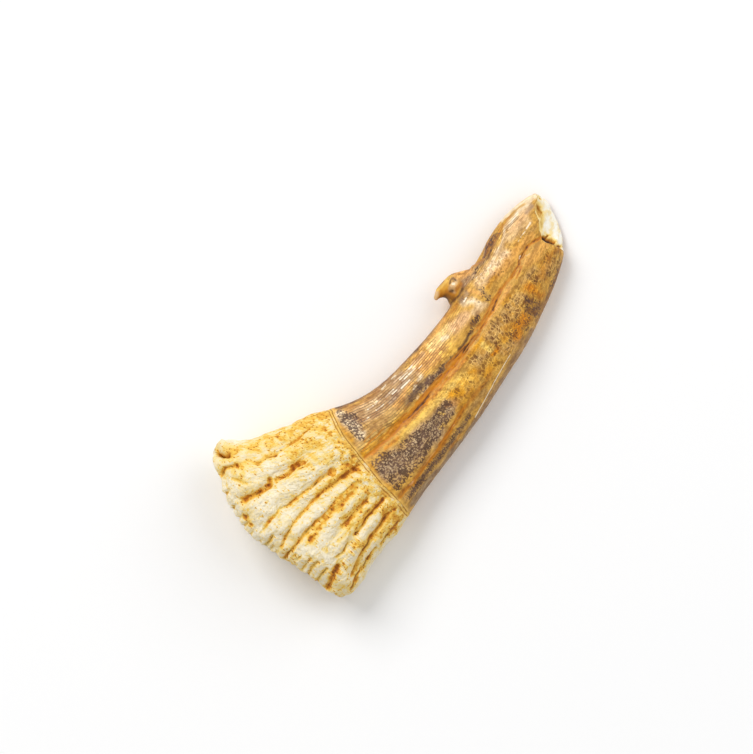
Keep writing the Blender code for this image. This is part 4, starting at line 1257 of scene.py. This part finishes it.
def enamel_edge(g, at, colour):
    """An ochre band behind the enamel's edge, with a thin dark line on each side of it."""
    reach = g.add(g.attribute("reach"), g.step(g.noise(at, 0.9, 3), 0.3, 0.7, -0.06, 0.06))
    broken_up = g.step(g.noise(at, (1.5, 0.7, 1.0), 2), 0.36, 0.56)
    distance = g.off(reach, -0.22)
    band = g.times(g.step(distance, 0.9, 0.2, 0, 0.75), g.step(broken_up, 0, 1, 0.4, 1))
    colour = g.mix(colour, BUTTER, band)
    line = g.off(distance, 0.22)
    return g.mix(colour, COPPER, g.times(g.step(line, 0.13, 0.05, 0, 0.85), broken_up))


def broken_colour(g, at, cavity):
    """The old break: white and cream dentine, stained to gold and brown in places."""
    vein, fine = g.noise(at, (0.5, 0.6, 0.8), 2, 0.3), g.noise(at, 2.5, 2)
    level = g.add(g.times(g.attribute("stain"), 0.52), g.step(vein, 0.42, 0.7, 0, 0.2), g.times(cavity, 0.5))
    level = g.add(level, g.step(fine, 0.45, 0.65, 0, 0.05))
    return g.ramp(level, (0.0, BONE), (0.2, CREAM), (0.35, PALE_YELLOW), (0.55, HONEY), (0.72, COPPER),
                  (0.88, BARK), (1.0, UMBER))


def relief(g, at, reach, cavity):
    """The height of what is too fine for the mesh: streaks, wrinkles, grit, pits and seams."""
    streaks, grit = g.noise(at, (0.3, 3.4, 1.2), 3), g.noise(at, (2.0, 3.6, 3.0))
    grit = g.add(grit, g.times(g.noise(at, (0.9, 5.0, 2.5), 1), 0.6), g.times(g.noise(at, 6.5), 0.8))
    wrinkles = g.times(g.attribute("crimp"), g.noise(at, (3.6, 0.6, 1.0), 1))
    height = g.add(g.times(g.attribute("streak"), streaks, 0.5), g.times(wrinkles, 2.0))
    height = g.add(height, g.times(grit, g.step(reach, *EDGE, 1.6, 0.25)))
    return g.add(height, g.step(cavity, 0.3, 1.0, 0, -0.4), g.times(g.attribute("seam"), -0.4))


def new_material(name):
    made = bpy.data.materials.new(name)
    made.use_nodes = True
    return made, made.node_tree.nodes["Principled BSDF"].inputs


def fossil_material():
    made, shader = new_material("fossil")
    g = Graph(made.node_tree)
    at, wash = g.attribute("flow", "Vector"), g.attribute("wash", "Color")
    reach, broken, cavity = g.attribute("reach"), g.attribute("broken"), g.attribute("cavity")
    crown = rusty(g, at, crown_colour(g, at, wash))
    # Pale lines, and painted highlights along the keel, near the tip and in the barb's pit.
    crown = g.mix(crown, GLINT, g.step(g.attribute("pale"), 0.35, 0.65, 0, 0.85))
    # Umber in pits and gaps: stain in the pits, painted shade in the gaps.
    crown = g.mix(crown, UMBER, g.step(cavity, 0.4, 1.2, 0, 0.8))
    colour = enamel_edge(g, at, g.mix(root_colour(g, at), crown, g.step(reach, *EDGE)))
    colour = g.mix(colour, broken_colour(g, at, cavity), broken)
    rough = g.math("MAXIMUM", g.step(reach, *EDGE, ROOT_ROUGHNESS, CROWN_ROUGHNESS),
                   g.times(broken, BREAK_ROUGHNESS))
    height = relief(g, at, reach, cavity)
    bumped = {"Strength": RELIEF_STRENGTH, "Distance": RELIEF_HEIGHT * MM, "Height": height}
    made.node_tree.links.new(colour, shader["Base Color"])
    made.node_tree.links.new(rough, shader["Roughness"])
    made.node_tree.links.new(g.node("ShaderNodeBump", 0, bumped), shader["Normal"])
    shader["Specular IOR Level"].default_value = 0.3
    return made


# ---------------------------------------------------------------- scene

FLOOR_COLOUR, FLOOR_HALF_WIDTH = (0.97, 0.97, 0.97, 1), 1.5


def add_floor():
    data = mesh_from("floor", lambda mesh: bmesh.ops.create_grid(mesh, size=FLOOR_HALF_WIDTH))
    made, shader = new_material("floor")
    shader["Base Color"].default_value = FLOOR_COLOUR
    shader["Roughness"].default_value = 0.9
    data.materials.append(made)
    put_in_scene("floor", data)


CAMERA_AIM = Vector((-3.56, 4.10, 5.0)) * MM
CAMERA_DISTANCE = 900 * MM
VIEW_WIDTH = 117.5 * MM
TIP_DIRECTION = math.radians(48)  # how far the tip is turned up from the picture's right
SENSOR = 36.0
# The soft boxes: direction, distance, size and power.
LIGHTS = {
    "key": ((0.12, 0.85, 0.9), 1.6, 0.9, 15.5),
    "fill": ((1.0, -0.2, 0.9), 1.6, 1.3, 7.4),
}
WORLD_STRENGTH = 0.48


def add_camera():
    data = bpy.data.cameras.new("camera")
    data.sensor_width = SENSOR
    data.lens = SENSOR * CAMERA_DISTANCE / VIEW_WIDTH
    data.clip_start, data.clip_end = 0.01, 20
    camera = put_in_scene("camera", data)
    camera.location = CAMERA_AIM + Vector((0, 0, CAMERA_DISTANCE))
    camera.rotation_euler = (0, 0, -TIP_DIRECTION)
    bpy.context.scene.camera = camera


def light_studio():
    """A pale world, and square soft boxes that face the spine."""
    world = bpy.data.worlds.new("studio")
    world.use_nodes = True
    background = world.node_tree.nodes["Background"].inputs
    background["Color"].default_value = (1, 1, 1, 1)
    background["Strength"].default_value = WORLD_STRENGTH
    bpy.context.scene.world = world
    for name, (direction, distance, size, power) in LIGHTS.items():
        data = bpy.data.lights.new(name, "AREA")
        data.size = size
        data.energy = power
        lamp = put_in_scene(name, data)
        towards = Vector(direction).normalized()
        lamp.location = towards * distance
        lamp.rotation_euler = towards.to_track_quat("Z", "Y").to_euler()
    bpy.context.scene.view_settings.view_transform = "Standard"


def main():
    spine, surface = build_spine()
    spine.data.materials.clear()
    spine.data.materials.append(fossil_material())
    store_masks(spine, surface)
    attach(spine, "root")
    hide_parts(NODE)
    add_floor()
    add_camera()
    light_studio()


main()
